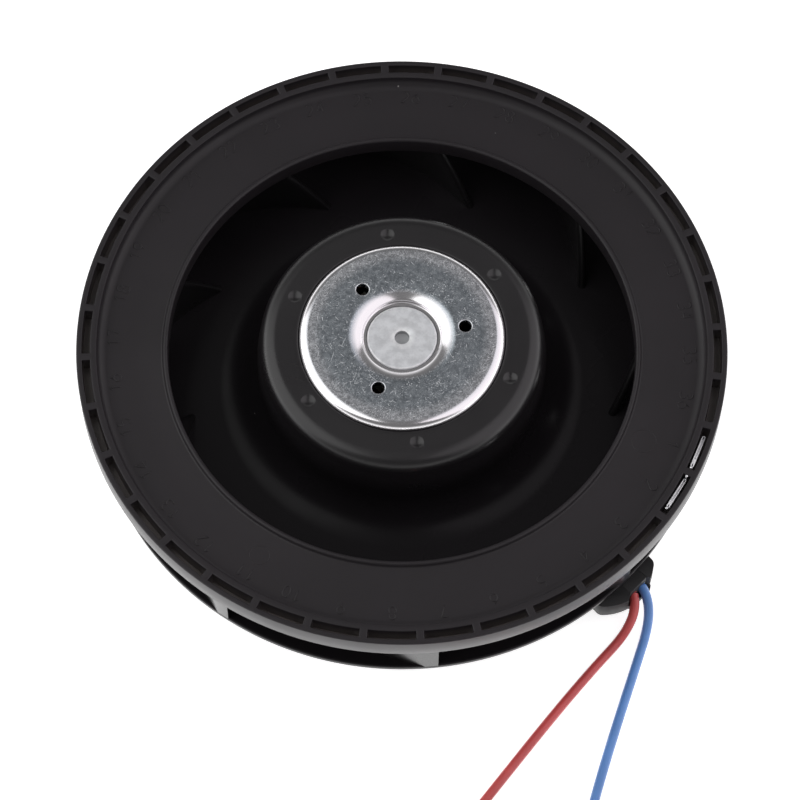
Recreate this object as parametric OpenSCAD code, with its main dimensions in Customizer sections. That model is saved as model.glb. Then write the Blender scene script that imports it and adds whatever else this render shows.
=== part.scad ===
// Flat centrifugal blower with an external-rotor DC motor.
// Frame: origin at the centre of the flange's flat back face, +Z along the shaft towards the
// air inlet, the lead arm at -45 degrees. All lengths are in millimetres, angles in degrees.
// The impeller turns about Z. Everything on the flange stands still.

/* [Impeller] */
// Outer diameter of the impeller
fan_d = 100; // [98:1:104]
// Height of the rim's top above the back face
rim_z = 22.5; // [22:0.1:24]
// Diameter of the air inlet
inlet_d = 72; // [70:1:74]
// Number of backward-curved blades
blade_count = 9; // [5:1:11]
// Thickness of a blade
blade_t = 1.3; // [1:0.1:2]
// Diameter of the back plate
back_d = 96; // [92:1:98]
// Height of the back plate's underside
back_z = 7.1; // [6.8:0.1:7.6]
// Wall thickness of the mouldings
wall = 1.2; // [1:0.1:1.5]
// Number of balancing slots round the rim
slot_count = 36; // [24:1:40]
// Depth of a balancing slot
slot_depth = 2.7; // [1:0.1:3]
// Angle through which the impeller is turned at rest
impeller_turn = -2.7; // [-20:0.1:20]

/* [Hub and rotor] */
// Height of the hub ring's top face
hub_z = 24; // [23.6:0.1:24.2]
// Outer radius of the hub at its shoulder
hub_r = 22; // [21.5:0.1:22.5]
// Height of the rotor cup's top face
cup_z = 25; // [24.8:0.1:25.4]
// Outer radius of the steel rotor cup
cup_r = 15.9; // [15.8:0.1:16]
// Sheet thickness of the rotor cup
cup_t = 1.2; // [1:0.1:1.2]
// Radial thickness of the ring magnet
magnet_t = 2; // [1.8:0.1:2]
// Air gap between the magnet and the stator
air_gap = 0.3; // [0.3:0.05:0.5]
// Shaft diameter
shaft_d = 3; // [3]

/* [Flange] */
// Radius of the mounting flange
flange_r = 32; // [31:0.5:34]
// Thickness of the mounting flange
flange_t = 2.6; // [2.4:0.1:3]
// Pitch circle diameter of the four threaded inserts
insert_pcd = 52; // [51:0.5:54]
// Bore of an insert, the core diameter of an M3 thread
insert_bore = 2.5; // [2.4:0.1:2.6]
// Direction of the arm that carries the leads
arm_angle = -44.5; // [-60:0.5:-30]
// Distance from the shaft to the outer face of the lead bar
arm_reach = 50.4; // [50:0.1:51]

/* [Leads] */
// Outer diameter of a lead
lead_d = 1.5; // [1.5]
// Length of a lead's bared, tinned end
tip_l = 6; // [5:0.5:8]

/* [Hidden] */

$fn = 96;
BLACK = [0.10, 0.10, 0.11];
ZINC = [0.70, 0.72, 0.76];
STEEL = [0.75, 0.76, 0.78];
RED = [0.72, 0.10, 0.10];
BLUE = [0.13, 0.32, 0.68];

// --- impeller ---
fan_r = fan_d / 2;
inlet_r = inlet_d / 2;
back_r = back_d / 2;
plate_z = rim_z - 1.8;          // top of the front plate
lip_z = rim_z - 1.2;            // top of the inlet lip
collar_z = rim_z - 4.5;         // lower edge of the inlet collar
rim_low = rim_z - 3.8;          // lower edge of the rim's outer wall
lip_w = 0.8;                    // width of the inlet lip
rim_fillet = 1.5;               // between the plate and the rim
rim_in = fan_r - 3.1;           // inner edge of the rim
slot_in = fan_r - 2.1;          // inner edge of a slot
slot_w = 1.25;                  // radial width of a slot
slot_pitch = 360 / slot_count;
rib_w = 1.2;                    // width of the rib between two slots
slot_span = slot_pitch - rib_w / (slot_in + slot_w / 2) * 180 / PI;
slot_1 = -20;                   // angle of slot 1 before the impeller is turned
clip_slots = [0, 1];            // slots that hold a balance clip, counted from slot 1
wheel_z = back_z + wall;        // top of the back plate
flare_r = 6.2;                  // radius of the hub's flare
flare_at = hub_r + 0.4 + flare_r;
shoulder = 2.5;                 // radius of the hub's shoulder
sleeve_t = 1.4;                 // wall round the rotor cup
sleeve_z = 9;                   // lower edge of that wall
blade_r = 33.9;                 // radius of a blade's arc
blade_c = 17.8;                 // distance of that arc's centre from the shaft
blade_turn = 66.7;              // direction of that centre for the first blade
blade_foot_r = 32.7;            // leading edge on the back plate
blade_head_r = inlet_r + 0.2;   // leading edge under the collar
dimple_r = 17.9;

// --- rotor and motor ---
cup_low = 8.2;
cup_fillet = 1.5;
recess_r = 8.55;                // dished centre of the cup
dish_round = 4.7;               // how softly the sheet turns down into it
boss_r = 5.5;
boss_z = cup_z - 1.1;
magnet_r = cup_r - cup_t;
magnet_in = magnet_r - magnet_t;
magnet_low = 9;
magnet_h = 11;
stator_r = magnet_in - air_gap;
core_low = 9.8;
core_h = 8;
core_mid = core_low + core_h / 2;
tooth_w = 3.6;
teeth = 4;
liner = 0.5;                    // insulation beside a tooth
cap_t = 0.8;                    // insulation above and below the core
yoke_r = 7;
shoe_r = stator_r - 1.2;
sleeve_out = shoe_r - 0.3;      // outer end of the insulation round a tooth
coil_in = 7.6;
coil_out = 10.2;
coil_t = 1.7;
coil_mid_r = (coil_in + coil_out) / 2;
coil_round = 1.4;               // side of the square taken off a winding's edges
shaft_r = shaft_d / 2;
shaft_low = 1.3;
tube_r = 5.2;
tube_top = 19.2;
seat_r = 4;                     // outer radius of a ball bearing
bearing_w = 4;
ball_r = 0.75;
ball_pitch = 2.75;
ball_count = 7;
ring_t = 0.7;
groove_gap = 0.05;
front_z = 14.8;                 // lower face of the front bearing
rear_z = 3.2;                   // lower face of the rear bearing
washer_h = 0.7;

// --- flange, board and arm ---
floor_t = 1.8;
pocket_z = 1;                   // floor of the bearing tube's pocket
ledge_z = 4.4;                  // what the circuit board lies on
board_t = 1.2;
board_r = 21;
board_z = ledge_z + board_t;    // component side of the board
bowl_r = board_r + 0.2;
bowl_z = 6.4;
insert_r = 2.3;
insert_l = 4.2;
lead_r = lead_d / 2;
lead_z = 3.4;                   // height of the leads in the arm
lead_y = 0.95;                  // half of the distance between them
lead_mid = 1;                   // they run beside the middle of the arm
arm_w = 8;
bar_w = 4.4;                    // the bar's width in the middle
bar_half = 5.7;                 // half of its length
bar_bow = 8;                    // radius of its outer face
bar_end = 1.3;                  // radius of its outer corners
bar_back = 0.7;                 // radius of its inner corners
bar_turn = -5;                  // it faces a little towards the red lead
bar_low = 2.2;                  // its underside
bar_z = 5.6;                    // its top
channel_w = 3.7;
notch_at = arm_reach - 1;       // the leads show from here
notch_from = -2.4;              // the notch's mouth
notch_to = 3.6;
shelf_half = 2.6;               // the shelf under the notch
shelf_low = 1.2;
shelf_top = 2.4;

// --- free leads: routes from the lead bar to the coils, lying on the floor ---
RED_ROUTE = [
    [35.27, -34.59, 3.4], [35.4, -35.77, 3.29], [35.3, -36.87, 3.01], [35.01, -37.9, 2.61],
    [34.55, -38.87, 2.14], [33.97, -39.8, 1.66], [33.29, -40.7, 1.24], [32.54, -41.57, 0.92],
    [31.76, -42.43, 0.76], [30.19, -44.15, 0.75], [28.18, -46.41, 0.75], [25.24, -49.84, 0.75],
    [22.04, -53.7, 0.75], [18.59, -57.97, 0.75], [14.86, -62.66, 0.75], [10.82, -67.74, 0.75],
    [6.5, -73.1, 0.75]
];
BLUE_ROUTE = [
    [36.6, -33.23, 3.4], [37.11, -34.34, 3.29], [37.41, -35.45, 3.01], [37.54, -36.55, 2.61],
    [37.52, -37.66, 2.14], [37.37, -38.76, 1.66], [37.12, -39.86, 1.24], [36.81, -40.96, 0.92],
    [36.45, -42.05, 0.76], [35.7, -44.24, 0.75], [34.72, -47.09, 0.75], [33.24, -51.35, 0.75],
    [31.62, -56.09, 0.75], [29.9, -61.31, 0.75], [28.12, -67.03, 0.75], [26.7, -72.0, 0.75],
    [25.6, -75.9, 0.75]
];
RED_COIL = [13.6, -78.6];
BLUE_COIL = [34.2, -78.6];
coil_mid = 7.5;                 // middle of a coil's turns
coil_bundle = 4.5;              // width of the bundle of turns
coil_h = 2 * lead_d;
tail_l = 8;
tie_w = 2.2;
tie_t = 0.5;
tie_angle = 60;

// A point at radius r and height z in a turned outline
function at(c, r, a) = [c[0] + r * cos(a), c[1] + r * sin(a)];
// Points of an arc about c from angle a0 to a1
function arc(c, r, a0, a1, n = 10) = [for (i = [0:n]) at(c, r, a0 + (a1 - a0) * i / n)];
// A polar point at height z
function polar(r, a, z = 0) = [r * cos(a), r * sin(a), z];
// A point between b and c on the smooth curve through a, b, c and d
function smooth(a, b, c, d, t) =
    0.5 * (2 * b + (c - a) * t + (2 * a - 5 * b + 4 * c - d) * t * t
    + (3 * b - a - 3 * c + d) * t * t * t);
// The smooth curve through the points p, with n steps between two of them
function curve(p, n) = let (m = len(p) - 1) [
    for (i = [0:m - 1], k = [0:n - 1])
        smooth(p[max(i - 1, 0)], p[i], p[i + 1], p[min(i + 2, m)], k / n),
    p[m]
];
function unit(v) = v / norm(v);
// Direction of a line of points at its point i
function along(p, i) = unit(p[min(i + 1, len(p) - 1)] - p[max(i - 1, 0)]);

// A round tube of radius r along the points p
module tube(p, r, sides = 8) {
    n = len(p);
    points = [
        for (i = [0:n - 1])
            let (t = along(p, i), s = unit(cross(t, [0, 0, 1])), u = cross(s, t))
                for (k = [0:sides - 1])
                    p[i] + r * (cos(360 * k / sides) * s + sin(360 * k / sides) * u)
    ];
    skin = [
        for (i = [0:n - 2], k = [0:sides - 1])
            let (a = i * sides, b = (k + 1) % sides)
                [a + k, a + b, a + sides + b, a + sides + k]
    ];
    first = [[for (k = [0:sides - 1]) sides - 1 - k]];
    last = [[for (k = [0:sides - 1]) (n - 1) * sides + k]];
    polyhedron(points, concat(skin, first, last), convexity = 6);
}

// A ring from radius a to b, from height z up by h
module ring(a, b, z, h) {
    translate([0, 0, z])
        difference() {
            cylinder(r = b, h = h);
            translate([0, 0, -1])
                cylinder(r = a, h = h + 2);
        }
}

// A box centred on x and y, standing on height z
module block(x, y, z, size) {
    translate([x - size[0] / 2, y - size[1] / 2, z])
        cube(size);
}

module on_circle(count, start = 0) {
    for (i = [0:count - 1])
        rotate([0, 0, start + 360 * i / count])
            children();
}

// The impeller's own parts are drawn turned by impeller_turn
module spun() {
    rotate([0, 0, impeller_turn])
        children();
}

// --- impeller ---

// Half section of the front moulding: collar, lip, plate and rim
module shroud_section() {
    edge = 0.2;
    polygon(concat(
        [[inlet_r, collar_z], [inlet_r, lip_z - lip_w / 2]],
        arc([inlet_r + lip_w / 2, lip_z - lip_w / 2], lip_w / 2, 180, 15),
        arc([inlet_r + lip_w + 0.35, plate_z + 0.35], 0.35, 195, 270, 5),
        arc([rim_in - rim_fillet, plate_z + rim_fillet], rim_fillet, 270, 360),
        arc([rim_in + edge, rim_z - edge], edge, 180, 90, 4),
        arc([fan_r - edge, rim_z - edge], edge, 90, 0, 4),
        [[fan_r, rim_low], [rim_in - 0.4, rim_low], [rim_in - 1, collar_z + 1.2]],
        arc([inlet_r + 3.9, collar_z - 1.25], 2.45, 90, 150)
    ));
}

module impeller_shroud() {
    color(BLACK)
        spun()
            difference() {
                rotate_extrude()
                    shroud_section();
                on_circle(slot_count, slot_1 - slot_span / 2)
                    rotate_extrude(angle = slot_span)
                        translate([slot_in, rim_z - slot_depth])
                            square([slot_w, slot_depth + 1]);
            }
}

// Half section of the rear moulding: back plate, flare, hub wall, hub ring and sleeve
module wheel_section() {
    edge = 0.3;
    in_wall = hub_r - 1.4;
    top_z = hub_z - shoulder;
    polygon(concat(
        arc([back_r - edge, back_z + edge], edge, -90, 0, 4),
        arc([back_r - edge, wheel_z - edge], edge, 0, 90, 4),
        arc([flare_at, wheel_z + flare_r], flare_r, 270, 180, 16),
        [[hub_r + 0.15, top_z - 0.2], [hub_r - 0.1, top_z]],
        arc([hub_r - 0.1 - shoulder, top_z], shoulder, 0, 90, 12),
        [[cup_r, hub_z], [cup_r, sleeve_z], [cup_r + sleeve_t, sleeve_z]],
        [[cup_r + sleeve_t, hub_z - 1.6], [in_wall - 1.6, hub_z - 1.6], [in_wall, top_z]],
        arc([flare_at, wheel_z + flare_r], flare_r + wall, 180, 270, 16)
    ));
}

module impeller_wheel() {
    color(BLACK)
        spun()
            difference() {
                union() {
                    rotate_extrude()
                        wheel_section();
                    on_circle(blade_count)
                        translate([cup_r + sleeve_t - 0.2, -0.5, 12])
                            cube([hub_r - cup_r - sleeve_t - 1, 1, hub_z - 13.2]);
                }
                on_circle(6, 39)
                    translate([dimple_r, 0, hub_z - 0.5])
                        cylinder(d = 1.8, h = 1, $fn = 32);
            }
}

// Side view of the room that the blades may fill
module blade_section() {
    polygon([
        [blade_foot_r, wheel_z], [back_r, wheel_z], [back_r, plate_z - 0.8],
        [blade_head_r, plate_z - 0.8], [blade_head_r, collar_z]
    ]);
}

module impeller_blades() {
    color(BLACK)
        spun()
            difference() {
                on_circle(blade_count)
                    intersection() {
                        translate(polar(blade_c, blade_turn))
                            ring(blade_r - blade_t, blade_r, wheel_z - 1, rim_z - wheel_z);
                        rotate_extrude(angle = 52, start = -12)
                            blade_section();
                    }
                rotate_extrude()
                    shroud_section();
            }
}

// One spring clip, pushed down into a slot that lies on the X axis
module balance_clip() {
    wire = 0.4;
    half = 3.1;
    r = slot_in + slot_w / 2;
    for (side = [-1, 1])
        translate([r, side * half, rim_z - 0.2])
            sphere(r = wire * 1.3, $fn = 24);
    for (y = [-1, 1])
        translate([r + y * wire * 0.5, -half, rim_z - 0.15])
            rotate([-90, 0, 0])
                cylinder(r = wire * 0.8, h = 2 * half, $fn = 24);
}

module balance_clips() {
    color(STEEL)
        spun()
            for (n = clip_slots)
                rotate([0, 0, slot_1 - slot_pitch * n])
                    balance_clip();
}

// --- rotor ---

module rotor_cup() {
    dish = boss_z - 0.2;
    color(ZINC)
        difference() {
            rotate_extrude()
                polygon(concat(
                    [[cup_r, cup_low]],
                    arc([cup_r - cup_fillet, cup_z - cup_fillet], cup_fillet, 0, 90, 8),
                    arc([recess_r, cup_z - dish_round], dish_round, 90, 117.7, 8),
                    [[recess_r - 2.35, dish], [boss_r, dish], [boss_r, dish - cup_t]],
                    [[recess_r - 2.15, dish - cup_t], [recess_r - 1.2, cup_z - 1.7]],
                    [[recess_r - 0.1, cup_z - cup_t]],
                    [[cup_r - cup_t - 0.3, cup_z - cup_t], [cup_r - cup_t, cup_z - cup_t - 0.3]],
                    [[cup_r - cup_t, cup_low]]
                ));
            on_circle(3, 7.5)
                translate([9.8, 0, cup_z - 3])
                    cylinder(d = 2, h = 5, $fn = 32);
        }
}

module rotor_boss() {
    dish = boss_z - 0.2 - cup_t;
    color([0.62, 0.63, 0.64])
        difference() {
            union() {
                translate([0, 0, dish - 1.3])
                    cylinder(r = boss_r, h = boss_z - dish + 1.3);
                translate([0, 0, dish - 1.3])
                    cylinder(r = boss_r + 1.3, h = 1.3);
                translate([0, 0, front_z + bearing_w])
                    cylinder(r = 2.2, h = dish - front_z - bearing_w);
            }
            translate([0, 0, shaft_low])
                cylinder(r = shaft_r, h = boss_z - 1 - shaft_low);
            translate([0, 0, boss_z - 0.5])
                cylinder(r = 1, h = 1, $fn = 32);
        }
}

module ring_magnet() {
    color([0.20, 0.20, 0.21])
        ring(magnet_in, magnet_r, magnet_low, magnet_h);
}

module shaft() {
    color(STEEL)
        difference() {
            translate([0, 0, shaft_low])
                cylinder(r = shaft_r, h = boss_z - 1 - shaft_low);
            ring(shaft_r - 0.4, shaft_r + 1, rear_z - washer_h - 0.6, 0.6);
        }
}

module shaft_clip() {
    color(STEEL)
        difference() {
            ring(shaft_r - 0.4, shaft_r + 1, rear_z - washer_h - 0.6, 0.6);
            translate([0, -0.7, 0])
                cube([4, 1.4, 4]);
        }
}

module shim_washer() {
    color(STEEL)
        ring(shaft_r, shaft_r + 0.9, rear_z - washer_h, washer_h);
}

// --- ball bearings ---

// The ball race of a bearing at height z, as a ring of the groove's radius
module race(z) {
    translate([0, 0, z + bearing_w / 2])
        rotate_extrude()
            translate([ball_pitch, 0])
                circle(r = ball_r + groove_gap, $fn = 48);
}

module bearing_inner(z) {
    color(STEEL)
        difference() {
            ring(shaft_r, shaft_r + ring_t, z, bearing_w);
            race(z);
        }
}

module bearing_outer(z) {
    color(STEEL)
        difference() {
            ring(seat_r - ring_t, seat_r, z, bearing_w);
            race(z);
        }
}

module bearing_balls(z) {
    color([0.85, 0.86, 0.88])
        on_circle(ball_count)
            translate([ball_pitch, 0, z + bearing_w / 2])
                sphere(r = ball_r, $fn = 32);
}

module front_bearing_inner() {
    bearing_inner(front_z);
}

module front_bearing_balls() {
    bearing_balls(front_z);
}

module front_bearing_outer() {
    bearing_outer(front_z);
}

module rear_bearing_inner() {
    bearing_inner(rear_z);
}

module rear_bearing_balls() {
    bearing_balls(rear_z);
}

module rear_bearing_outer() {
    bearing_outer(rear_z);
}

// A dished spring washer that presses the front bearing's outer ring up
module preload_washer() {
    low = front_z - washer_h;
    color(STEEL)
        rotate_extrude()
            polygon([
                [3.5, low], [3.8, low], [3.95, front_z - 0.3], [3.95, front_z],
                [3.6, front_z], [3.4, low + 0.3]
            ]);
}

module bearing_tube() {
    color([0.78, 0.68, 0.42])
        difference() {
            translate([0, 0, pocket_z])
                cylinder(r = tube_r, h = tube_top - pocket_z);
            translate([0, 0, pocket_z - 1])
                cylinder(r = seat_r, h = rear_z + bearing_w - pocket_z + 1);
            translate([0, 0, pocket_z])
                cylinder(r = seat_r - ring_t, h = tube_top);
            translate([0, 0, front_z - washer_h])
                cylinder(r = seat_r, h = tube_top);
        }
}

// --- stator ---

// A wedge of a disc, as wide as angle a
module wedge(a, r) {
    polygon([[0, 0], [r, -r * tan(a / 2)], [r, r * tan(a / 2)]]);
}

module stator_core() {
    color([0.55, 0.56, 0.58])
        translate([0, 0, core_low])
            linear_extrude(core_h)
                difference() {
                    union() {
                        circle(r = yoke_r);
                        on_circle(teeth, 45) {
                            translate([0, -tooth_w / 2])
                                square([shoe_r + 0.4, tooth_w]);
                            intersection() {
                                difference() {
                                    circle(r = stator_r);
                                    circle(r = shoe_r);
                                }
                                wedge(74, 20);
                            }
                        }
                    }
                    circle(r = tube_r);
                }
}

// One end cap of the insulation, lying on the core's upper end
module insulator() {
    top = core_low + core_h;
    in_w = tooth_w;
    out_w = tooth_w + 2 * liner;
    ring(tube_r, yoke_r, top, cap_t);
    ring(yoke_r - 0.8, yoke_r + 0.2, top + cap_t, coil_t);
    on_circle(teeth, 45) {
        difference() {
            translate([yoke_r - 0.1, -out_w / 2, core_mid])
                cube([sleeve_out - yoke_r + 0.1, out_w, core_h / 2 + cap_t]);
            translate([yoke_r - 1, -in_w / 2, core_mid - 1])
                cube([shoe_r - yoke_r + 2, in_w, core_h / 2 + 1]);
            translate([0, 0, core_mid - 1])
                cylinder(r = yoke_r, h = core_h / 2 + 1);
        }
        translate([coil_out, -3, top])
            cube([0.8, 6, cap_t + coil_t]);
    }
}

module upper_insulator() {
    color([0.90, 0.88, 0.80])
        insulator();
}

module lower_insulator() {
    color([0.90, 0.88, 0.80])
        translate([0, 0, 2 * core_mid])
            mirror([0, 0, 1])
                insulator();
}

module stator_coils() {
    w = tooth_w + 2 * liner;
    h = core_h + 2 * cap_t;
    color([0.72, 0.38, 0.16])
        on_circle(teeth, 45)
            difference() {
                translate([coil_in, -w / 2 - coil_t, core_mid - h / 2 - coil_t])
                    cube([coil_out - coil_in, w + 2 * coil_t, h + 2 * coil_t]);
                translate([coil_in - 1, -w / 2, core_mid - h / 2])
                    cube([coil_out - coil_in + 2, w, h]);
                for (y = [-1, 1], z = [-1, 1])
                    translate([coil_mid_r, y * (w / 2 + coil_t), core_mid + z * (h / 2 + coil_t)])
                        rotate([45, 0, 0])
                            cube([coil_out, coil_round, coil_round], center = true);
            }
}

module coil_pins() {
    color(STEEL)
        on_circle(teeth, 45)
            translate([coil_out + 0.4, 0, ledge_z - 0.6])
                cylinder(r = 0.35, h = core_low - cap_t - coil_t - ledge_z + 0.6, $fn = 24);
}

// --- circuit board ---

module circuit_board() {
    color([0.10, 0.36, 0.20])
        difference() {
            translate([0, 0, ledge_z])
                cylinder(r = board_r, h = board_t);
            translate([0, 0, ledge_z - 1])
                cylinder(r = tube_r + 0.1, h = board_t + 2);
            on_circle(teeth, 45)
                translate([coil_out + 0.4, 0, ledge_z - 1])
                    cylinder(r = 0.35, h = board_t + 2, $fn = 24);
        }
}

module hall_sensor() {
    color([0.12, 0.12, 0.12])
        block(13.5, 0, board_z, [1.5, 4, 1.6]);
}

module driver_chip() {
    color([0.12, 0.12, 0.12])
        rotate([0, 0, 90])
            block(17, 0, board_z, [4, 5, 1.6]);
}

module drive_transistors() {
    color([0.12, 0.12, 0.12])
        for (a = [160, 200])
            rotate([0, 0, a])
                block(17.5, 0, board_z, [2.6, 4.5, 1.6]);
}

module filter_capacitor() {
    color([0.75, 0.58, 0.20])
        rotate([0, 0, 20])
            block(18, 0, board_z, [3.6, 6.5, 2.4]);
}

module resistors() {
    color([0.15, 0.15, 0.16])
        for (a = [60, 120, 230, 250, 290, 340])
            rotate([0, 0, a])
                block(17.5, 0, board_z, [1.6, 3.2, 0.6]);
}

// Solder on the board's underside: a cone round each coil pin, and one at each lead's end
module solder_joints() {
    low = ledge_z - 0.8;
    color([0.80, 0.81, 0.82])
        difference() {
            union() {
                on_circle(teeth, 45)
                    translate([coil_out + 0.4, 0, low])
                        cylinder(r1 = 0.5, r2 = 1.1, h = 0.8, $fn = 32);
                rotate([0, 0, arm_angle])
                    for (y = [-1, 1])
                        translate([15, lead_mid + y * lead_y, lead_z - 0.6])
                            cylinder(r = 0.85, h = ledge_z - lead_z + 0.6, $fn = 32);
            }
            on_circle(teeth, 45)
                translate([coil_out + 0.4, 0, low - 1])
                    cylinder(r = 0.35, h = 3, $fn = 24);
            inner_lead(1);
            inner_lead(-1);
        }
}

// --- flange ---

module motor_flange() {
    color(BLACK)
        difference() {
            union() {
                rotate_extrude()
                    polygon([
                        [0, 0], [flange_r - 0.6, 0], [flange_r, 0.6], [flange_r, flange_t],
                        [bowl_r + 1.6, flange_t], [bowl_r + 1.6, bowl_z], [bowl_r, bowl_z],
                        [bowl_r, ledge_z], [bowl_r - 1.4, ledge_z], [bowl_r - 1.4, floor_t],
                        [tube_r + 1.2, floor_t], [tube_r + 1.2, ledge_z - 0.2],
                        [tube_r, ledge_z - 0.2], [tube_r, pocket_z], [0, pocket_z]
                    ]);
                on_circle(4)
                    translate([insert_pcd / 2, 0, 0])
                        cylinder(r = insert_r + 1.2, h = insert_l + 0.8);
                rotate([0, 0, arm_angle])
                    arm();
            }
            on_circle(4)
                translate([insert_pcd / 2, 0, -1])
                    cylinder(r = insert_r, h = insert_l + 1);
            rotate([0, 0, arm_angle])
                lead_channel();
        }
}

// The arm along +X, with the bar across its end
module arm() {
    translate([flange_r - 3, -arm_w / 2, 0])
        cube([arm_reach - bar_w + 1.4 - flange_r + 3, arm_w, lead_z]);
    difference() {
        translate([0, 0, bar_low])
            linear_extrude(bar_z - bar_low)
                polygon(bar_plan());
        translate([0, 0, bar_low - 1])
            linear_extrude(bar_z)
                polygon([
                    [notch_at, lead_mid - channel_w / 2],
                    [arm_reach, notch_from], [arm_reach + 2, notch_from],
                    [arm_reach + 2, notch_to], [arm_reach, notch_to],
                    [notch_at, lead_mid + channel_w / 2]
                ]);
    }
    translate([arm_reach - bar_w, lead_mid - shelf_half, shelf_low])
        cube([bar_w - 0.8, 2 * shelf_half, shelf_top - shelf_low]);
    translate([arm_reach - bar_w, lead_mid - shelf_half + 0.8, shelf_low])
        cube([bar_w - 0.1, 2 * shelf_half - 1.6, shelf_top - shelf_low]);
    for (y = [-1, 1])
        translate([arm_reach - 0.9, lead_mid + y * (shelf_half - 0.8), shelf_low])
            cylinder(r = 0.8, h = shelf_top - shelf_low, $fn = 32);
}

// The bar's outline: a bowed outer face, round outer corners and a straight inner face
function bar_plan() = let (
    middle = arm_reach - bar_bow,
    y = bar_half - bar_end,
    x = middle + sqrt(pow(bar_bow - bar_end, 2) - y * y),
    a = atan2(y, x - middle),
    inner = arm_reach - bar_w,
    upper = concat(
        [for (i = [1:8]) at([middle, 0], bar_bow, a * i / 8)],
        arc([x, y], bar_end, a + 8, 90, 6),
        arc([inner + bar_back, bar_half - bar_back], bar_back, 90, 180, 6)
    ),
    n = len(upper),
    plan = concat([[arm_reach, 0]], upper, [for (i = [n - 1:-1:0]) [upper[i][0], -upper[i][1]]])
) [for (p = plan) turn_about([arm_reach - 3.4, 0], p, bar_turn)];

// Point p turned about c
function turn_about(c, p, a) = let (d = p - c) [
    c[0] + d[0] * cos(a) - d[1] * sin(a),
    c[1] + d[0] * sin(a) + d[1] * cos(a)
];

// The room for the two leads in the flange, the arm and the bar
module lead_channel() {
    translate([bowl_r - 2, lead_mid - channel_w / 2, lead_z - lead_r])
        cube([arm_reach - bar_w - bowl_r + 2, channel_w, 10]);
    translate([arm_reach - bar_w - 1, lead_mid - channel_w / 2, lead_z])
        cube([bar_w + 3, channel_w, 10]);
    for (y = [-1, 1])
        translate([arm_reach - bar_w - 1, lead_mid + y * lead_y, lead_z])
            rotate([0, 90, 0])
                cylinder(r = lead_r, h = bar_w + 3, $fn = 32);
}

module flange_inserts() {
    color([0.80, 0.62, 0.28])
        on_circle(4)
            translate([insert_pcd / 2, 0, 0])
                ring(insert_bore / 2, insert_r, 0, insert_l);
}

module strain_relief_clip() {
    x = arm_reach - bar_w + 0.4;
    color(BLACK)
        rotate([0, 0, arm_angle])
            difference() {
                translate([x, lead_mid - channel_w / 2, lead_z])
                    cube([notch_at - x, channel_w, bar_z - lead_z]);
                for (y = [-1, 1])
                    translate([x - 1, lead_mid + y * lead_y, lead_z])
                        rotate([0, 90, 0])
                            cylinder(r = lead_r, h = bar_w + 2, $fn = 32);
            }
}

// --- leads ---

// The stretch of a lead between the board and the bar's outer face
module inner_lead(side) {
    rotate([0, 0, arm_angle])
        translate([15, lead_mid + side * lead_y, lead_z])
            rotate([0, 90, 0])
                cylinder(r = lead_r, h = notch_at - 15, $fn = 32);
}

// The free stretch of a lead: its route to the coil, and its tail behind the coil
module free_lead(route, coil) {
    r = coil_mid + coil_bundle / 2 - lead_r;
    tube(curve(route, 2), lead_r);
    tube([for (i = [0:4]) [coil[0] + i * tail_l / 4, coil[1] - r, lead_r]], lead_r);
}

module lead_coil(coil) {
    translate([coil[0], coil[1], 0])
        ring(coil_mid - coil_bundle / 2, coil_mid + coil_bundle / 2, 0, coil_h);
}

// A cable tie round the bundle of turns, with its head on the outer side
module lead_tie(coil) {
    w = coil_bundle + 2 * tie_t;
    translate([coil[0], coil[1], 0])
        rotate([0, 0, tie_angle]) {
            difference() {
                block(coil_mid, 0, 0, [w, tie_w, coil_h + tie_t]);
                block(coil_mid, 0, tie_t * 0.4, [coil_bundle, tie_w + 2, coil_h - tie_t * 0.4]);
            }
            block(coil_mid + w / 2 + 0.8, 0, 0.6, [1.6, tie_w + 0.8, 2.4]);
        }
}

module lead_tip(coil) {
    r = coil_mid + coil_bundle / 2 - lead_r;
    color(STEEL)
        translate([coil[0] + tail_l, coil[1] - r, lead_r])
            rotate([0, 90, 0])
                cylinder(r = 0.45, h = tip_l, $fn = 24);
}

module red_lead_inner() {
    color(RED)
        inner_lead(-1);
}

module blue_lead_inner() {
    color(BLUE)
        inner_lead(1);
}

module red_lead() {
    color(RED)
        free_lead(RED_ROUTE, RED_COIL);
}

module red_lead_coil() {
    color(RED)
        lead_coil(RED_COIL);
}

module red_lead_tie() {
    color(BLACK)
        lead_tie(RED_COIL);
}

module red_lead_tip() {
    lead_tip(RED_COIL);
}

module blue_lead() {
    color(BLUE)
        free_lead(BLUE_ROUTE, BLUE_COIL);
}

module blue_lead_coil() {
    color(BLUE)
        lead_coil(BLUE_COIL);
}

module blue_lead_tie() {
    color(BLACK)
        lead_tie(BLUE_COIL);
}

module blue_lead_tip() {
    lead_tip(BLUE_COIL);
}

impeller_shroud();
impeller_wheel();
impeller_blades();
balance_clips();
rotor_cup();
rotor_boss();
ring_magnet();
shaft();
shaft_clip();
shim_washer();
front_bearing_inner();
front_bearing_balls();
front_bearing_outer();
rear_bearing_inner();
rear_bearing_balls();
rear_bearing_outer();
preload_washer();
bearing_tube();
stator_core();
upper_insulator();
lower_insulator();
stator_coils();
coil_pins();
circuit_board();
hall_sensor();
driver_chip();
drive_transistors();
filter_capacitor();
resistors();
solder_joints();
motor_flange();
flange_inserts();
strain_relief_clip();
red_lead_inner();
blue_lead_inner();
red_lead();
red_lead_coil();
red_lead_tie();
red_lead_tip();
blue_lead();
blue_lead_coil();
blue_lead_tie();
blue_lead_tip();
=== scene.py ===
# %% [markdown]
# # Dressing a flat centrifugal blower
# The real object is a motorised impeller: a black moulded wheel, 100 mm across, that turns on a
# small flat motor. The CAD model already holds every piece at its place and size, apart from the
# number marks and the tool marks. This notebook gives it its looks. It rebuilds the surfaces
# that people see as smooth meshes, and it gives every piece a finish. Measures are in
# millimetres unless a comment says otherwise, and become Blender's metres in a mesh.

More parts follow.
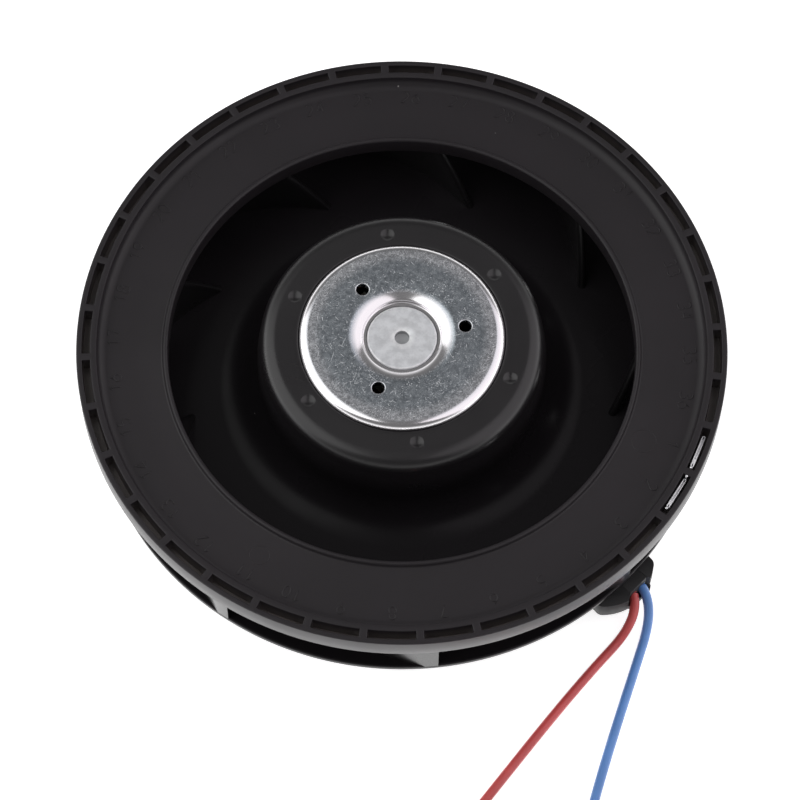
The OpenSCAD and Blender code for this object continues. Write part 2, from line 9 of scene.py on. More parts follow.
# %% The frame
import math
import bmesh
import bpy
import numpy as np
from mathutils import Matrix, Vector


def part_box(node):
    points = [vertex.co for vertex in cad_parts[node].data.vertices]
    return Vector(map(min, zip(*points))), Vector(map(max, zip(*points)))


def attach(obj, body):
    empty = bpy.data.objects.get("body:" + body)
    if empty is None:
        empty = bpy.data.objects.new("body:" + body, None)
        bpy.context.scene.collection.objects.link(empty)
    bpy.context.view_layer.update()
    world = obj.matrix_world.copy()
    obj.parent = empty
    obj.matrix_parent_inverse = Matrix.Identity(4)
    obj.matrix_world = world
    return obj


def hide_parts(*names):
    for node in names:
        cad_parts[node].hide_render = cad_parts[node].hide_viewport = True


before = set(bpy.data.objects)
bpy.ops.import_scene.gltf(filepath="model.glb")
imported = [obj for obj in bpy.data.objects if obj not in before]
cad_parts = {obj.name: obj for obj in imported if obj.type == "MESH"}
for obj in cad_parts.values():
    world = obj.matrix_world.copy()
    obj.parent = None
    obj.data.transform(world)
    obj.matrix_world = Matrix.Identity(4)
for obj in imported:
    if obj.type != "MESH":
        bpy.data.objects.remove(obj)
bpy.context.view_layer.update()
MM = 0.001

# %% [markdown]
# The driving measures come from the boxes of the CAD nodes, so the dressed surfaces follow
# the solids. Only measures that no box shows, such as the width of a slot in the rim,
# are written as numbers.

# %% Measures


def span(node):
    """Lowest and highest corner of a CAD node, in millimetres."""
    low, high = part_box(node)
    return np.array(low) / MM, np.array(high) / MM


(_, _, COLLAR_Z), (FAN_R, _, RIM_Z) = span("impeller_shroud")
(_, _, BACK_Z), (BACK_R, _, HUB_Z) = span("impeller_wheel")
(_, _, CUP_LOW), (CUP_R, _, CUP_Z) = span("rotor_cup")
BOSS_Z = span("rotor_boss")[1][2]
LEAD_D = span("red_lead_inner")[1][2] - span("red_lead_inner")[0][2]
LEAD_R = LEAD_D / 2
TURN = -2.7  # the angle at which the impeller rests, in degrees
print(f"impeller {2 * FAN_R:.1f} mm across, rim top at {RIM_Z:.1f}, cup top at {CUP_Z:.1f}")

# %% [markdown]
# Such a flat part shows best from high up and far away, where its circles stay close to true
# ellipses. The camera looks down at about 64 degrees through a long lens, aimed just in front of
# the shaft. It is placed from an elevation, a heading, a roll and a distance.

# %% Camera


def new_object(name, data):
    """A new object that shows the data, linked to the scene's collection."""
    made = bpy.data.objects.new(name, data)
    bpy.context.scene.collection.objects.link(made)
    return made


ELEVATION = 64.4
HEADING = -1.5  # degrees that the camera stands away from the -Y side
ROLL = 0.665
DISTANCE = 557.5
AIM = np.array([-0.46, -9.96, RIM_Z])
LENS = 164.7


def camera_axes(elevation, heading, roll):
    """Right, up and back of a camera that looks at its aim from above, as three columns."""
    e, h, t = np.radians([elevation, heading, roll])
    right = np.array([math.cos(h), math.sin(h), 0])
    back = np.array([math.sin(h) * math.cos(e), -math.cos(h) * math.cos(e), math.sin(e)])
    up = np.cross(back, right)
    rolled = math.cos(t) * right + math.sin(t) * up
    return np.stack([rolled, np.cross(back, rolled), back], axis=1)


axes = camera_axes(ELEVATION, HEADING, ROLL)
camera_data = bpy.data.cameras.new("camera")
camera_data.lens = LENS
camera_data.sensor_width = 36
camera_data.clip_end = 20
camera = new_object("camera", camera_data)
place = Matrix(axes.tolist()).to_4x4()
place.translation = Vector((AIM + DISTANCE * axes[:, 2]) * MM)
camera.matrix_world = place
bpy.context.scene.camera = camera
print("camera at", [round(x, 3) for x in camera.location])

# %% [markdown]
# Every new surface is a grid of points: one array of shape (rows, columns, 3), worked out at
# once with numpy. Neighbouring points make the faces. A piece may be joined from several grids,
# and points that fall on each other are then merged, so seams and poles are closed. An `edge`
# value travels with the points. It is 1 where the surface turns sharply outwards, and the
# materials make those places lighter and, in plastic, smoother, partly as wear from handling and
# partly as a painted highlight. It is -1 on the floor of a slot or a small recess, where the
# plastic gets a lighter colour as painted light and the metal a darker one as painted shade.

# %% Grids of points into meshes


def quads(rows, columns, around=False):
    """Four indices for each cell of a grid whose points are numbered row by row.

    With `around`, the last column is joined to the first.
    """
    i, j = np.meshgrid(
        np.arange(rows - 1), np.arange(columns if around else columns - 1), indexing="ij"
    )
    k = (j + 1) % columns
    cells = [i * columns + j, i * columns + k, (i + 1) * columns + k, (i + 1) * columns + j]
    return np.stack(cells, axis=-1).reshape(-1, 4)


class Shell:
    """Collects grids of points for one piece."""

    def __init__(self):
        self.points, self.faces, self.edges, self.count = [], [], [], 0

    def add(self, grid, around=False, edge=0.0, flip=False):
        """Adds one grid. `edge` is one number, or an array that fits the grid."""
        rows, columns, _ = grid.shape
        cells = quads(rows, columns, around) + self.count
        self.faces.append(cells[:, ::-1] if flip else cells)
        self.points.append(grid.reshape(-1, 3))
        self.edges.append(np.broadcast_to(edge, (rows, columns)).reshape(-1))
        self.count += rows * columns
        return self


def make_piece(name, shell, merge=0.002, sharp=40.0):
    """A mesh object at the origin from a shell of grids, with its doubles merged."""
    mesh = bpy.data.meshes.new(name)
    points = np.concatenate(shell.points) * MM
    mesh.from_pydata(points, [], np.concatenate(shell.faces))
    edge = mesh.attributes.new("edge", "FLOAT", "POINT")
    edge.data.foreach_set("value", np.concatenate(shell.edges).astype(np.float32))
    work = bmesh.new()
    work.from_mesh(mesh)
    bmesh.ops.remove_doubles(work, verts=work.verts, dist=merge * MM)
    bmesh.ops.dissolve_degenerate(work, edges=work.edges, dist=merge * MM / 4)
    bmesh.ops.recalc_face_normals(work, faces=work.faces)
    work.to_mesh(mesh)
    work.free()
    mesh.shade_smooth()
    mesh.set_sharp_from_angle(angle=math.radians(sharp))
    piece = new_object(name, mesh)
    print(f"{name}: {len(mesh.vertices)} points, {len(mesh.polygons)} faces")
    return piece


def dress(piece, body, slot, material, nodes=()):
    """Lets a piece move with a body, gives it its finish and hides the CAD nodes that it replaces.
    `slot` is not used.
    """
    piece.data.materials.clear()
    piece.data.materials.append(material)
    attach(piece, body)
    if nodes:
        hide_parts(*nodes)
    return piece


# %% [markdown]
# Three small tools draw most of the shapes. `arc` gives the points of a rounded corner.
# `revolved` turns a half section about the shaft, as a lathe would. `swept` carries a circle of
# changing radius along a path, which makes wires, ridges and moulded digits.

# %% Arcs, turned shapes and swept circles


def arc(centre, radius, start, end, count=8):
    """Points on a circle about the centre, from one angle to another, in degrees."""
    a = np.radians(np.linspace(start, end, count))
    return np.stack([centre[0] + radius * np.cos(a), centre[1] + radius * np.sin(a)], axis=1)


def outline(*pieces):
    """One list of points from arcs and single points."""
    return np.concatenate([np.atleast_2d(np.asarray(p, float)) for p in pieces])


def revolved(section, angles):
    """Each point (r, z) of the section goes to (r cos a, r sin a, z) for every angle a."""
    a = np.radians(angles)
    r, z = section[:, 0:1], section[:, 1:2]
    return np.stack([r * np.cos(a), r * np.sin(a), z + 0 * a], axis=-1)


def capped(grid):
    """The grid with a row added at each end, all in the end's middle, which closes a tube."""
    first, last = grid[:1].mean(axis=1, keepdims=True), grid[-1:].mean(axis=1, keepdims=True)
    return np.concatenate([0 * grid[:1] + first, grid, 0 * grid[-1:] + last])


def corners_of(section):
    """1 where a clockwise section bulges by more than 12 degrees, else 0."""
    before = section - np.roll(section, 1, axis=0)
    after = np.roll(section, -1, axis=0) - section
    cross = before[:, 0] * after[:, 1] - before[:, 1] * after[:, 0]
    turn = np.degrees(np.arctan2(cross, (before * after).sum(axis=1)))
    return (-turn > 12).astype(float)


def swept(path, radius, sides=12, flat=1.0):
    """A circle of the given radius round each point of the path, square to its direction.

    The side axis is the path's direction crossed with +Z, so the path may not stand upright.
    `flat` squeezes the circle in height.
    """
    ahead = np.gradient(path, axis=0)
    ahead /= np.linalg.norm(ahead, axis=1, keepdims=True)
    side = np.cross(ahead, [0, 0, 1.0])
    side /= np.linalg.norm(side, axis=1, keepdims=True)
    over = np.cross(side, ahead)
    a = np.linspace(0, 2 * np.pi, sides, endpoint=False)
    radius = np.broadcast_to(radius, len(path))[:, None, None]
    round_it = side[:, None] * np.cos(a)[:, None] + flat * over[:, None] * np.sin(a)[:, None]
    return path[:, None] + radius * round_it


def closing(count):
    """Factors that take a swept radius down to nothing at both ends, like a quarter circle."""
    t = np.linspace(0, 1, count)
    near_end = np.clip(np.minimum(t, 1 - t) / (1.0 / count + 1e-9), 0, 1)
    return np.sqrt(1 - (1 - near_end) ** 2)


def smooth_step(t):
    """0 below 0, 1 above 1, and 3t² - 2t³ between."""
    t = np.clip(t, 0, 1)
    return t * t * (3 - 2 * t)


# %% [markdown]
# ## The leads
# The blower has two leads of ordinary stranded wire, a red one for the supply and a blue one for
# its return. They leave the bar under the impeller, bend down to the table within about
# 10 mm and run away over it. Each is a little over 300 mm long, and most of that is wound into a
# small flat coil.
# The route is a list of points, the same as in the CAD source, and a smooth curve runs through
# them. A helper script smoothed and spaced these points and rounded them to a hundredth of a
# millimetre, so they aren't round numbers chosen by hand. The coil is worked out turn by turn,
# so no two turns touch.

# %% Route and coil of a lead
RED_ROUTE = [
    (35.27, -34.59, 3.4), (35.4, -35.77, 3.29), (35.3, -36.87, 3.01), (35.01, -37.9, 2.61),
    (34.55, -38.87, 2.14), (33.97, -39.8, 1.66), (33.29, -40.7, 1.24), (32.54, -41.57, 0.92),
    (31.76, -42.43, 0.76), (30.19, -44.15, 0.75), (28.18, -46.41, 0.75), (25.24, -49.84, 0.75),
    (22.04, -53.7, 0.75), (18.59, -57.97, 0.75), (14.86, -62.66, 0.75), (10.82, -67.74, 0.75),
    (6.5, -73.1, 0.75),
]
BLUE_ROUTE = [
    (36.6, -33.23, 3.4), (37.11, -34.34, 3.29), (37.41, -35.45, 3.01), (37.54, -36.55, 2.61),
    (37.52, -37.66, 2.14), (37.37, -38.76, 1.66), (37.12, -39.86, 1.24), (36.81, -40.96, 0.92),
    (36.45, -42.05, 0.76), (35.7, -44.24, 0.75), (34.72, -47.09, 0.75), (33.24, -51.35, 0.75),
    (31.62, -56.09, 0.75), (29.9, -61.31, 0.75), (28.12, -67.03, 0.75), (26.7, -72.0, 0.75),
    (25.6, -75.9, 0.75),
]
RED_COIL = (13.6, -78.6)
BLUE_COIL = (34.2, -78.6)
TAIL = 8.0  # from the coil to the bared end
TIP = 6.0  # length of the bared end
COLUMN_R = [9.0, 7.5, 6.0, 6.0, 7.5, 9.0]  # radius of each turn, outwards again on top
LAYER_Z = [0.75, 0.75, 0.75, 2.25, 2.25, 2.25]  # height of each turn
FIRST_SHIFT = 300.0  # degrees after which the first turn steps aside
NEXT_SHIFT = 330.0
SHIFT = 60.0  # degrees that a step takes


def smooth_curve(points, steps):
    """The Catmull-Rom curve through the points, with `steps` points for each gap."""
    p = np.asarray(points, float)
    p = np.concatenate([p[:1], p, p[-1:]])
    t = np.linspace(0, 1, steps, endpoint=False)[:, None]
    a, b, c, d = (p[k:len(p) - 3 + k, None] for k in range(4))
    bent = (2 * b + (c - a) * t + (2 * a - 5 * b + 4 * c - d) * t**2
            + (3 * b - a - 3 * c + d) * t**3) / 2
    return np.concatenate([bent.reshape(-1, 3), p[-1:]])


def coil_turns(centre, entry):
    """A lead wound flat: it goes round the centre and steps from one turn's place to the next.

    The angle grows evenly. Radius and height move from each pair in COLUMN_R and LAYER_Z to the
    next with a smooth step, and the last turn ends on the -Y side of the centre.
    """
    start = math.degrees(math.atan2(entry[1] - centre[1], entry[0] - centre[0]))
    whole = 360 * (len(COLUMN_R) - 1) + 270 - start
    turned = np.arange(0, whole, 12.0)
    turned = np.append(turned[1:], whole)
    r, z = np.full(len(turned), COLUMN_R[0]), np.full(len(turned), LAYER_Z[0])
    for k in range(len(COLUMN_R) - 1):
        share = smooth_step((turned - FIRST_SHIFT - k * NEXT_SHIFT) / SHIFT)
        r += share * (COLUMN_R[k + 1] - COLUMN_R[k])
        z += share * (LAYER_Z[k + 1] - LAYER_Z[k])
    a = np.radians(start + turned)
    return np.stack([centre[0] + r * np.cos(a), centre[1] + r * np.sin(a), z], axis=1)


def lead_path(route, centre):
    """Route, coil and tail of one lead as a single line of points."""
    turns = coil_turns(centre, route[-1])
    x = np.linspace(0.8, TAIL, 10)
    height = LAYER_Z[-1] - (LAYER_Z[-1] - LEAD_R) * smooth_step((x - 3) / (TAIL - 3))
    tail = np.stack([centre[0] + x, 0 * x + turns[-1, 1], height], axis=1)
    return np.concatenate([smooth_curve(route, 3), turns, tail])


def length_of(path):
    """Sum of the distances between neighbouring points."""
    return np.linalg.norm(np.diff(path, axis=0), axis=1).sum()


red_path = lead_path(RED_ROUTE, RED_COIL)
blue_path = lead_path(BLUE_ROUTE, BLUE_COIL)
print(f"red lead {length_of(red_path):.0f} mm, blue lead {length_of(blue_path):.0f} mm")

# %% [markdown]
# ## Building blocks for the finishes
# A real surface is never one flat colour. Moulded plastic has a fine grain and faint clouds left
# by the flow of the melt, plated steel has speckles and short scratches, and everything has a
# little dust. Each such effect is a node group, built once and placed in every material that
# needs it with its own values. The groups only put out masks, heights and values. The shader
# itself stays in each material.

# %% Short calls that place shader nodes


def put(tree, kind, inputs=None, **settings):
    """Adds a node. An input is set by name or number, to a value or to another node's socket."""
    node = tree.nodes.new(kind)
    for label, value in settings.items():
        setattr(node, label, value)
    for key, value in (inputs or {}).items():
        if isinstance(value, bpy.types.NodeSocket):
            tree.links.new(value, node.inputs[key])
        else:
            node.inputs[key].default_value = value
    return node


def calc(tree, operation, a, b=0.0, c=0.0):
    """One step of arithmetic on values."""
    return put(tree, "ShaderNodeMath", {0: a, 1: b, 2: c}, operation=operation).outputs[0]


def ramp(tree, value, low, high, to_low=0.0, to_high=1.0):
    """Maps low..high smoothly to to_low..to_high, and holds the ends beyond them."""
    keys = {"Value": value, 1: low, 2: high, 3: to_low, 4: to_high}
    return put(tree, "ShaderNodeMapRange", keys, interpolation_type="SMOOTHSTEP").outputs[0]


def blend_colour(tree, factor, a, b):
    """Colour a where the factor is 0, colour b where it is 1."""
    keys = {0: factor, 6: a, 7: b}
    return put(tree, "ShaderNodeMix", keys, data_type="RGBA").outputs[2]


def object_point(tree):
    """The place on the object, in metres, which turns with it."""
    return put(tree, "ShaderNodeTexCoord").outputs["Object"]


def noise(tree, point, scale, detail=2.0, roughness=0.5):
    """Soft random values, with `scale` waves to the metre."""
    keys = {"Vector": point, "Scale": scale, "Detail": detail, "Roughness": roughness}
    return put(tree, "ShaderNodeTexNoise", keys).outputs["Fac"]


def new_group(name, inputs, outputs):
    """An empty node group with float inputs and outputs. Returns its tree, start and end."""
    tree = bpy.data.node_groups.new(name, "ShaderNodeTree")
    for label, value in inputs.items():
        socket = tree.interface.new_socket(label, in_out="INPUT", socket_type="NodeSocketFloat")
        socket.default_value = value
    for label in outputs:
        tree.interface.new_socket(label, in_out="OUTPUT", socket_type="NodeSocketFloat")
    start, end = tree.nodes.new("NodeGroupInput"), tree.nodes.new("NodeGroupOutput")
    return tree, start.outputs, end.inputs


def place_group(tree, group, **values):
    """Puts a node group in a material and returns its outputs."""
    node = put(tree, "ShaderNodeGroup", node_tree=group)
    for label, value in values.items():
        node.inputs[label.replace("_", " ")].default_value = value
    return node.outputs


# %% [markdown]
# Five groups carry the effects. `grain` mixes a fine noise for bump with broad clouds. `dust`
# gives a few random cells of a Voronoi pattern a tiny round speck. `scratches` gives each cell
# one short line, turned by the cell's own random angle, which looks like the marks that loose
# parts leave on each other in a box. `speckle` breaks a plated surface into small bright flakes.
# `wear_and_highlight` reads the `edge` value of the mesh and frays it with noise. The materials
# lighten edges with it, partly as wear and partly as a painted highlight.

# %% Node groups


def make_grain():
    """Height is a fine noise. Cloud is a broad one, spread over 0 to 1."""
    tree, given, out = new_group("grain", {"Fine": 2600.0, "Broad": 55.0}, ["Height", "Cloud"])
    point = object_point(tree)
    fine = noise(tree, point, given["Fine"], 3.0)
    broad = noise(tree, point, given["Broad"], 4.0, 0.6)
    tree.links.new(fine, out["Height"])
    tree.links.new(ramp(tree, broad, 0.3, 0.7), out["Cloud"])
    return tree


def make_dust():
    """A round speck in a random share of the cells, each of its own size."""
    tree, given, out = new_group("dust", {"Scale": 300.0, "Share": 0.1, "Size": 0.12}, ["Mask"])
    keys = {"Vector": object_point(tree), "Scale": given["Scale"]}
    cells = put(tree, "ShaderNodeTexVoronoi", keys)
    chance = put(tree, "ShaderNodeSeparateColor", {0: cells.outputs["Color"]}).outputs
    chosen = calc(tree, "LESS_THAN", chance[0], given["Share"])
    size = calc(tree, "MULTIPLY", given["Size"], calc(tree, "ADD", chance[1], 0.3))
    speck = ramp(tree, calc(tree, "DIVIDE", cells.outputs["Distance"], size), 1.0, 0.6)
    tree.links.new(calc(tree, "MULTIPLY", speck, chosen), out["Mask"])
    return tree


def make_scratches():
    """One short bent line in a share of the cells, turned at random."""
    sizes = {"Scale": 500.0, "Length": 0.35, "Width": 0.03, "Share": 0.6}
    tree, given, out = new_group("scratches", sizes, ["Mask"])
    point = object_point(tree)
    keys = {"Vector": point, "Scale": given["Scale"]}
    cells = put(tree, "ShaderNodeTexVoronoi", keys, voronoi_dimensions="2D")
    colour = put(tree, "ShaderNodeSeparateColor", {0: cells.outputs["Color"]}).outputs
    local = put(tree, "ShaderNodeVectorMath", {0: point, 1: cells.outputs["Position"]},
                operation="SUBTRACT").outputs[0]
    keys = {"Vector": local, "Angle": calc(tree, "MULTIPLY", colour[0], math.tau)}
    turned = put(tree, "ShaderNodeVectorRotate", keys, rotation_type="Z_AXIS").outputs[0]
    axis = put(tree, "ShaderNodeSeparateXYZ", {0: turned}).outputs
    along = calc(tree, "MULTIPLY", calc(tree, "ABSOLUTE", axis[0]), given["Scale"])
    bend = calc(tree, "MULTIPLY", calc(tree, "MULTIPLY", along, along), 0.25)
    across = calc(tree, "MULTIPLY", axis[1], given["Scale"])
    across = calc(tree, "ABSOLUTE", calc(tree, "SUBTRACT", across, bend))
    reach = calc(tree, "MULTIPLY", given["Length"], colour[1])
    line = calc(
        tree, "MULTIPLY",
        ramp(tree, calc(tree, "DIVIDE", along, reach), 1.0, 0.4),
        ramp(tree, calc(tree, "DIVIDE", across, given["Width"]), 1.0, 0.2),
    )
    chosen = calc(tree, "LESS_THAN", colour[2], given["Share"])
    tree.links.new(calc(tree, "MULTIPLY", line, chosen), out["Mask"])
    return tree


def make_speckle():
    """Noise above a cut, which lies lower where a broad cloud is bright."""
    tree, given, out = new_group("speckle", {"Scale": 2200.0, "Cut": 0.56}, ["Mask", "Cloud"])
    point = object_point(tree)
    flakes = noise(tree, point, given["Scale"], 2.0, 0.7)
    cloud = noise(tree, point, calc(tree, "MULTIPLY", given["Scale"], 0.09), 3.0, 0.6)
    cloud = ramp(tree, cloud, 0.25, 0.75)
    lift = calc(tree, "MULTIPLY_ADD", cloud, 0.12, flakes)
    top = calc(tree, "ADD", given["Cut"], 0.16)
    tree.links.new(ramp(tree, lift, given["Cut"], top), out["Mask"])
    tree.links.new(cloud, out["Cloud"])
    return tree


def make_worn():
    """The `edge` value times a noise and an amount. Below 0 it stays below 0."""
    tree, given, out = new_group("wear_and_highlight", {"Amount": 0.6, "Scale": 900.0}, ["Mask"])
    edge = put(tree, "ShaderNodeAttribute", attribute_name="edge").outputs["Fac"]
    fray = ramp(tree, noise(tree, object_point(tree), given["Scale"], 3.0), 0.3, 0.7, 0.3, 1.0)
    mask = calc(tree, "MULTIPLY", calc(tree, "MULTIPLY", edge, fray), given["Amount"])
    tree.links.new(mask, out["Mask"])
    return tree


GRAIN, DUST, SCRATCHES = make_grain(), make_dust(), make_scratches()
SPECKLE, WEAR_AND_HIGHLIGHT = make_speckle(), make_worn()
print("node groups:", [g.name for g in (GRAIN, DUST, SCRATCHES, SPECKLE, WEAR_AND_HIGHLIGHT)])

# %% [markdown]
# A material is a Principled shader with plain numbers on its own sockets, and the groups feed
# its colour, roughness and bump. `new_finish` sets up the part that all materials share.

# %% The common part of a material


def new_finish(name, **sockets):
    """A material with a Principled shader. Sockets are given by name, with _ for a space."""
    material = bpy.data.materials.new(name)
    material.use_nodes = True
    tree = material.node_tree
    shader = tree.nodes["Principled BSDF"]
    for label, value in sockets.items():
        shader.inputs[label.replace("_", " ")].default_value = value
    return material, tree, shader.inputs


def bump(tree, shader, height, depth, distance=0.00002):
    """Lets a height between 0 and 1 tilt the surface a little. The distance is in metres."""
    keys = {"Strength": depth, "Distance": distance, "Height": height}
    tree.links.new(put(tree, "ShaderNodeBump", keys).outputs[0], shader["Normal"])


def lit(colour, factor):
    """A colour made lighter or darker by a factor, with full alpha."""
    return tuple(min(1.0, x * factor) for x in colour[:3]) + (1.0,)


# %% [markdown]
# ## Moulded plastic
# The impeller is glass-filled plastic, near black with a brown cast. The tool was spark-eroded
# where the plate is dull and polished where the blades are, so one function makes both, with
# its own roughness. The clouds are kept faint, and corners that get touched are a shade lighter
# and smoother, partly as wear and partly as a painted highlight. The grain is a true fine bump,
# so it fades with distance as it should.

# %% Plastic


def sunk(tree):
    """1 where the mesh has an `edge` value of -1, which marks the floor of a small recess. There
    the plastic paints light and the metal paints shade.
    """
    edge = put(tree, "ShaderNodeAttribute", attribute_name="edge").outputs["Fac"]
    return ramp(tree, edge, 0.0, -1.0)


def plastic(name, colour, roughness, grain=0.35, fine=2600.0, dust=0.05, wear=0.5, shine=0.35):
    """Moulded plastic. `grain` is the depth of the bump, `dust` the share of specks.

    `shine` is the specular level, the same all over.
    """
    material, tree, shader = new_finish(name, IOR=1.5, Specular_IOR_Level=shine)
    spread = place_group(tree, GRAIN, Fine=fine, Broad=48.0)
    wear_and_highlight = place_group(tree, WEAR_AND_HIGHLIGHT, Amount=wear, Scale=1200.0)["Mask"]
    specks = place_group(tree, DUST, Scale=260.0, Share=dust, Size=0.045)["Mask"]
    base = blend_colour(tree, spread["Cloud"], lit(colour, 0.86), lit(colour, 1.16))
    # Edges nearly twice as light: partly wear, partly a painted highlight.
    base = blend_colour(tree, wear_and_highlight, base, lit(colour, 1.9))
    base = blend_colour(tree, specks, base, (0.32, 0.31, 0.30, 1))
    # Painted light: the floors of slots and recesses get a much lighter colour.
    base = blend_colour(tree, sunk(tree), base, (0.12, 0.105, 0.10, 1))
    tree.links.new(base, shader["Base Color"])
    rough = ramp(tree, spread["Cloud"], 0.0, 1.0, roughness + 0.03, roughness - 0.03)
    rough = calc(tree, "SUBTRACT", rough, calc(tree, "MULTIPLY", wear_and_highlight, 0.08))
    tree.links.new(rough, shader["Roughness"])
    bump(tree, shader, spread["Height"], grain)
    return material


PLATE_BLACK = plastic("dull_black_moulding", (0.0150, 0.0125, 0.0146), 0.44)
# The hub's specular level drops towards the depth of the wheel, as painted shade, and its colour
# is darker than the plate's, partly as painted shade for the inside of the wheel. The visual
# export drops a linked specular level, so an exported hub lacks this change.
SHADE_FULL_BELOW, SHADE_GONE_ABOVE = 15.0, 21.0  # heights
SHADED_SHINE, HUB_SHINE = 0.12, 0.6
HUB_BLACK = plastic("satin_black_moulding", (0.0085, 0.0074, 0.0085), 0.30, dust=0.03,
                    shine=HUB_SHINE)
hub_tree = HUB_BLACK.node_tree
hub_height = put(hub_tree, "ShaderNodeSeparateXYZ", {0: object_point(hub_tree)}).outputs[2]
hub_shaded_level = ramp(hub_tree, hub_height, SHADE_FULL_BELOW * MM, SHADE_GONE_ABOVE * MM, SHADED_SHINE, HUB_SHINE)
hub_tree.links.new(hub_shaded_level,
                   hub_tree.nodes["Principled BSDF"].inputs["Specular IOR Level"])
# The blades are darker than the plate: painted shade for the inside of the wheel.
BLADE_BLACK = plastic("polished_black_moulding", (0.0070, 0.0064, 0.0070), 0.30, grain=0.08)
DIGIT_BLACK = plastic("raised_digits", (0.0160, 0.0138, 0.0156), 0.38, grain=0.2, dust=0.0)
FLANGE_BLACK = plastic("flange_moulding", (0.0200, 0.0200, 0.0205), 0.62, grain=0.5)
TIE_BLACK = plastic("tie_nylon", (0.0180, 0.0180, 0.0190), 0.38, grain=0.15, fine=900.0)
WHITE_NYLON = plastic("white_nylon", (0.72, 0.70, 0.62), 0.42, grain=0.2, dust=0.0)
FERRITE = plastic("bonded_ferrite", (0.045, 0.043, 0.042), 0.55, grain=0.8, fine=3800.0)
CHIP_BLACK = plastic("chip_epoxy", (0.020, 0.020, 0.021), 0.48, grain=0.6, fine=3200.0)
CAPACITOR_YELLOW = plastic("capacitor_epoxy", (0.60, 0.38, 0.07), 0.40, grain=0.2)

# %% [markdown]
# ## Wire insulation
# Soft PVC is glossy but never quite even: the colour clouds along the wire and the surface has
# long shallow waves from the extruder. A thin coat on a rougher base gives the double highlight
# of plasticised vinyl.

# %% Insulation


def insulation(name, colour):
    """Soft PVC of one colour."""
    material, tree, shader = new_finish(name, IOR=1.52, Coat_Weight=0.25, Coat_Roughness=0.2)
    spread = place_group(tree, GRAIN, Fine=700.0, Broad=120.0)
    base = blend_colour(tree, spread["Cloud"], lit(colour, 0.9), lit(colour, 1.12))
    tree.links.new(base, shader["Base Color"])
    tree.links.new(ramp(tree, spread["Cloud"], 0, 1, 0.46, 0.38), shader["Roughness"])
    bump(tree, shader, spread["Height"], 0.25, 0.00004)
    return material


RED_PVC = insulation("red_insulation", (0.60, 0.075, 0.075))
BLUE_PVC = insulation("blue_insulation", (0.115, 0.28, 0.66))

# %% [markdown]
# ## Metals
# Every metal but the cast one is fully metallic, and its colour, roughness and bump set it apart.
# Zinc plate is the most worked one: bluish clouds, bright flakes, short scratches and a polished
# rim. The cast boss is a partly metallic grey with a sandy bump.

# %% Metals


def zinc_plate():
    """Blue zinc plate on drawn steel.

    The flat is mottled, with flakes and short scratches, and grows hazy where the sheet starts
    to bend (an `edge` near 0.4). The bends themselves (an `edge` of 1) are stretched smooth.
    """
    material, tree, shader = new_finish("zinc_plate", Metallic=1.0)
    edge = put(tree, "ShaderNodeAttribute", attribute_name="edge").outputs["Fac"]
    flat = ramp(tree, edge, 0.4, 0.9, 1.0, 0.0)
    haze = calc(tree, "MULTIPLY", ramp(tree, edge, 0.05, 0.4), flat)
    mottle = ramp(tree, noise(tree, object_point(tree), 1700.0, 6.0, 0.8), 0.30, 0.72)
    flakes = place_group(tree, SPECKLE, Scale=4200.0, Cut=0.64)
    fine = place_group(tree, SCRATCHES, Scale=640.0, Length=0.42, Width=0.030, Share=0.7)["Mask"]
    long = place_group(tree, SCRATCHES, Scale=300.0, Length=0.45, Width=0.014, Share=0.35)["Mask"]
    marks = calc(tree, "MAXIMUM", fine, calc(tree, "MULTIPLY", long, 0.8))
    marks = calc(tree, "MULTIPLY", calc(tree, "MAXIMUM", marks, flakes["Mask"]), flat)
    base = blend_colour(tree, mottle, (0.40, 0.44, 0.49, 1), (0.62, 0.67, 0.71, 1))
    base = blend_colour(tree, marks, base, (0.86, 0.88, 0.90, 1))
    base = blend_colour(tree, edge, base, (0.90, 0.88, 0.90, 1))
    tree.links.new(base, shader["Base Color"])
    rough = calc(tree, "MULTIPLY_ADD", calc(tree, "MULTIPLY", mottle, flat), 0.12, 0.16)
    rough = calc(tree, "MULTIPLY_ADD", haze, calc(tree, "MULTIPLY", mottle, 0.07), rough)
    rough = calc(tree, "MAXIMUM", rough, calc(tree, "MULTIPLY", marks, 0.62))
    tree.links.new(rough, shader["Roughness"])
    relief = calc(tree, "MULTIPLY", calc(tree, "SUBTRACT", mottle, marks), flat)
    bump(tree, shader, relief, 0.12, 0.00002)
    return material


def metal(name, colour, roughness, fine=2500.0, broad=160.0, relief=0.2, tarnish=0.85, solid=1.0):
    """A plain metal. Broad clouds darken it to `tarnish`, a fine bump breaks its highlight.

    `solid` is how metallic it is: a blasted casting scatters light like stone.
    """
    material, tree, shader = new_finish(name, Metallic=solid)
    spread = place_group(tree, GRAIN, Fine=fine, Broad=broad)
    wear_and_highlight = place_group(tree, WEAR_AND_HIGHLIGHT, Amount=0.7, Scale=1500.0)["Mask"]
    base = blend_colour(tree, spread["Cloud"], lit(colour, tarnish), lit(colour, 1.0))
    # Edges a quarter lighter: partly wear, partly a painted highlight.
    base = blend_colour(tree, wear_and_highlight, base, lit(colour, 1.25))
    # Painted shade: the floor and wall of a recess are half as light.
    base = blend_colour(tree, sunk(tree), base, lit(colour, 0.5))
    tree.links.new(base, shader["Base Color"])
    rough = ramp(tree, spread["Cloud"], 0, 1, roughness * 1.2, roughness * 0.85)
    tree.links.new(rough, shader["Roughness"])
    bump(tree, shader, spread["Height"], relief, 0.00003)
    return material


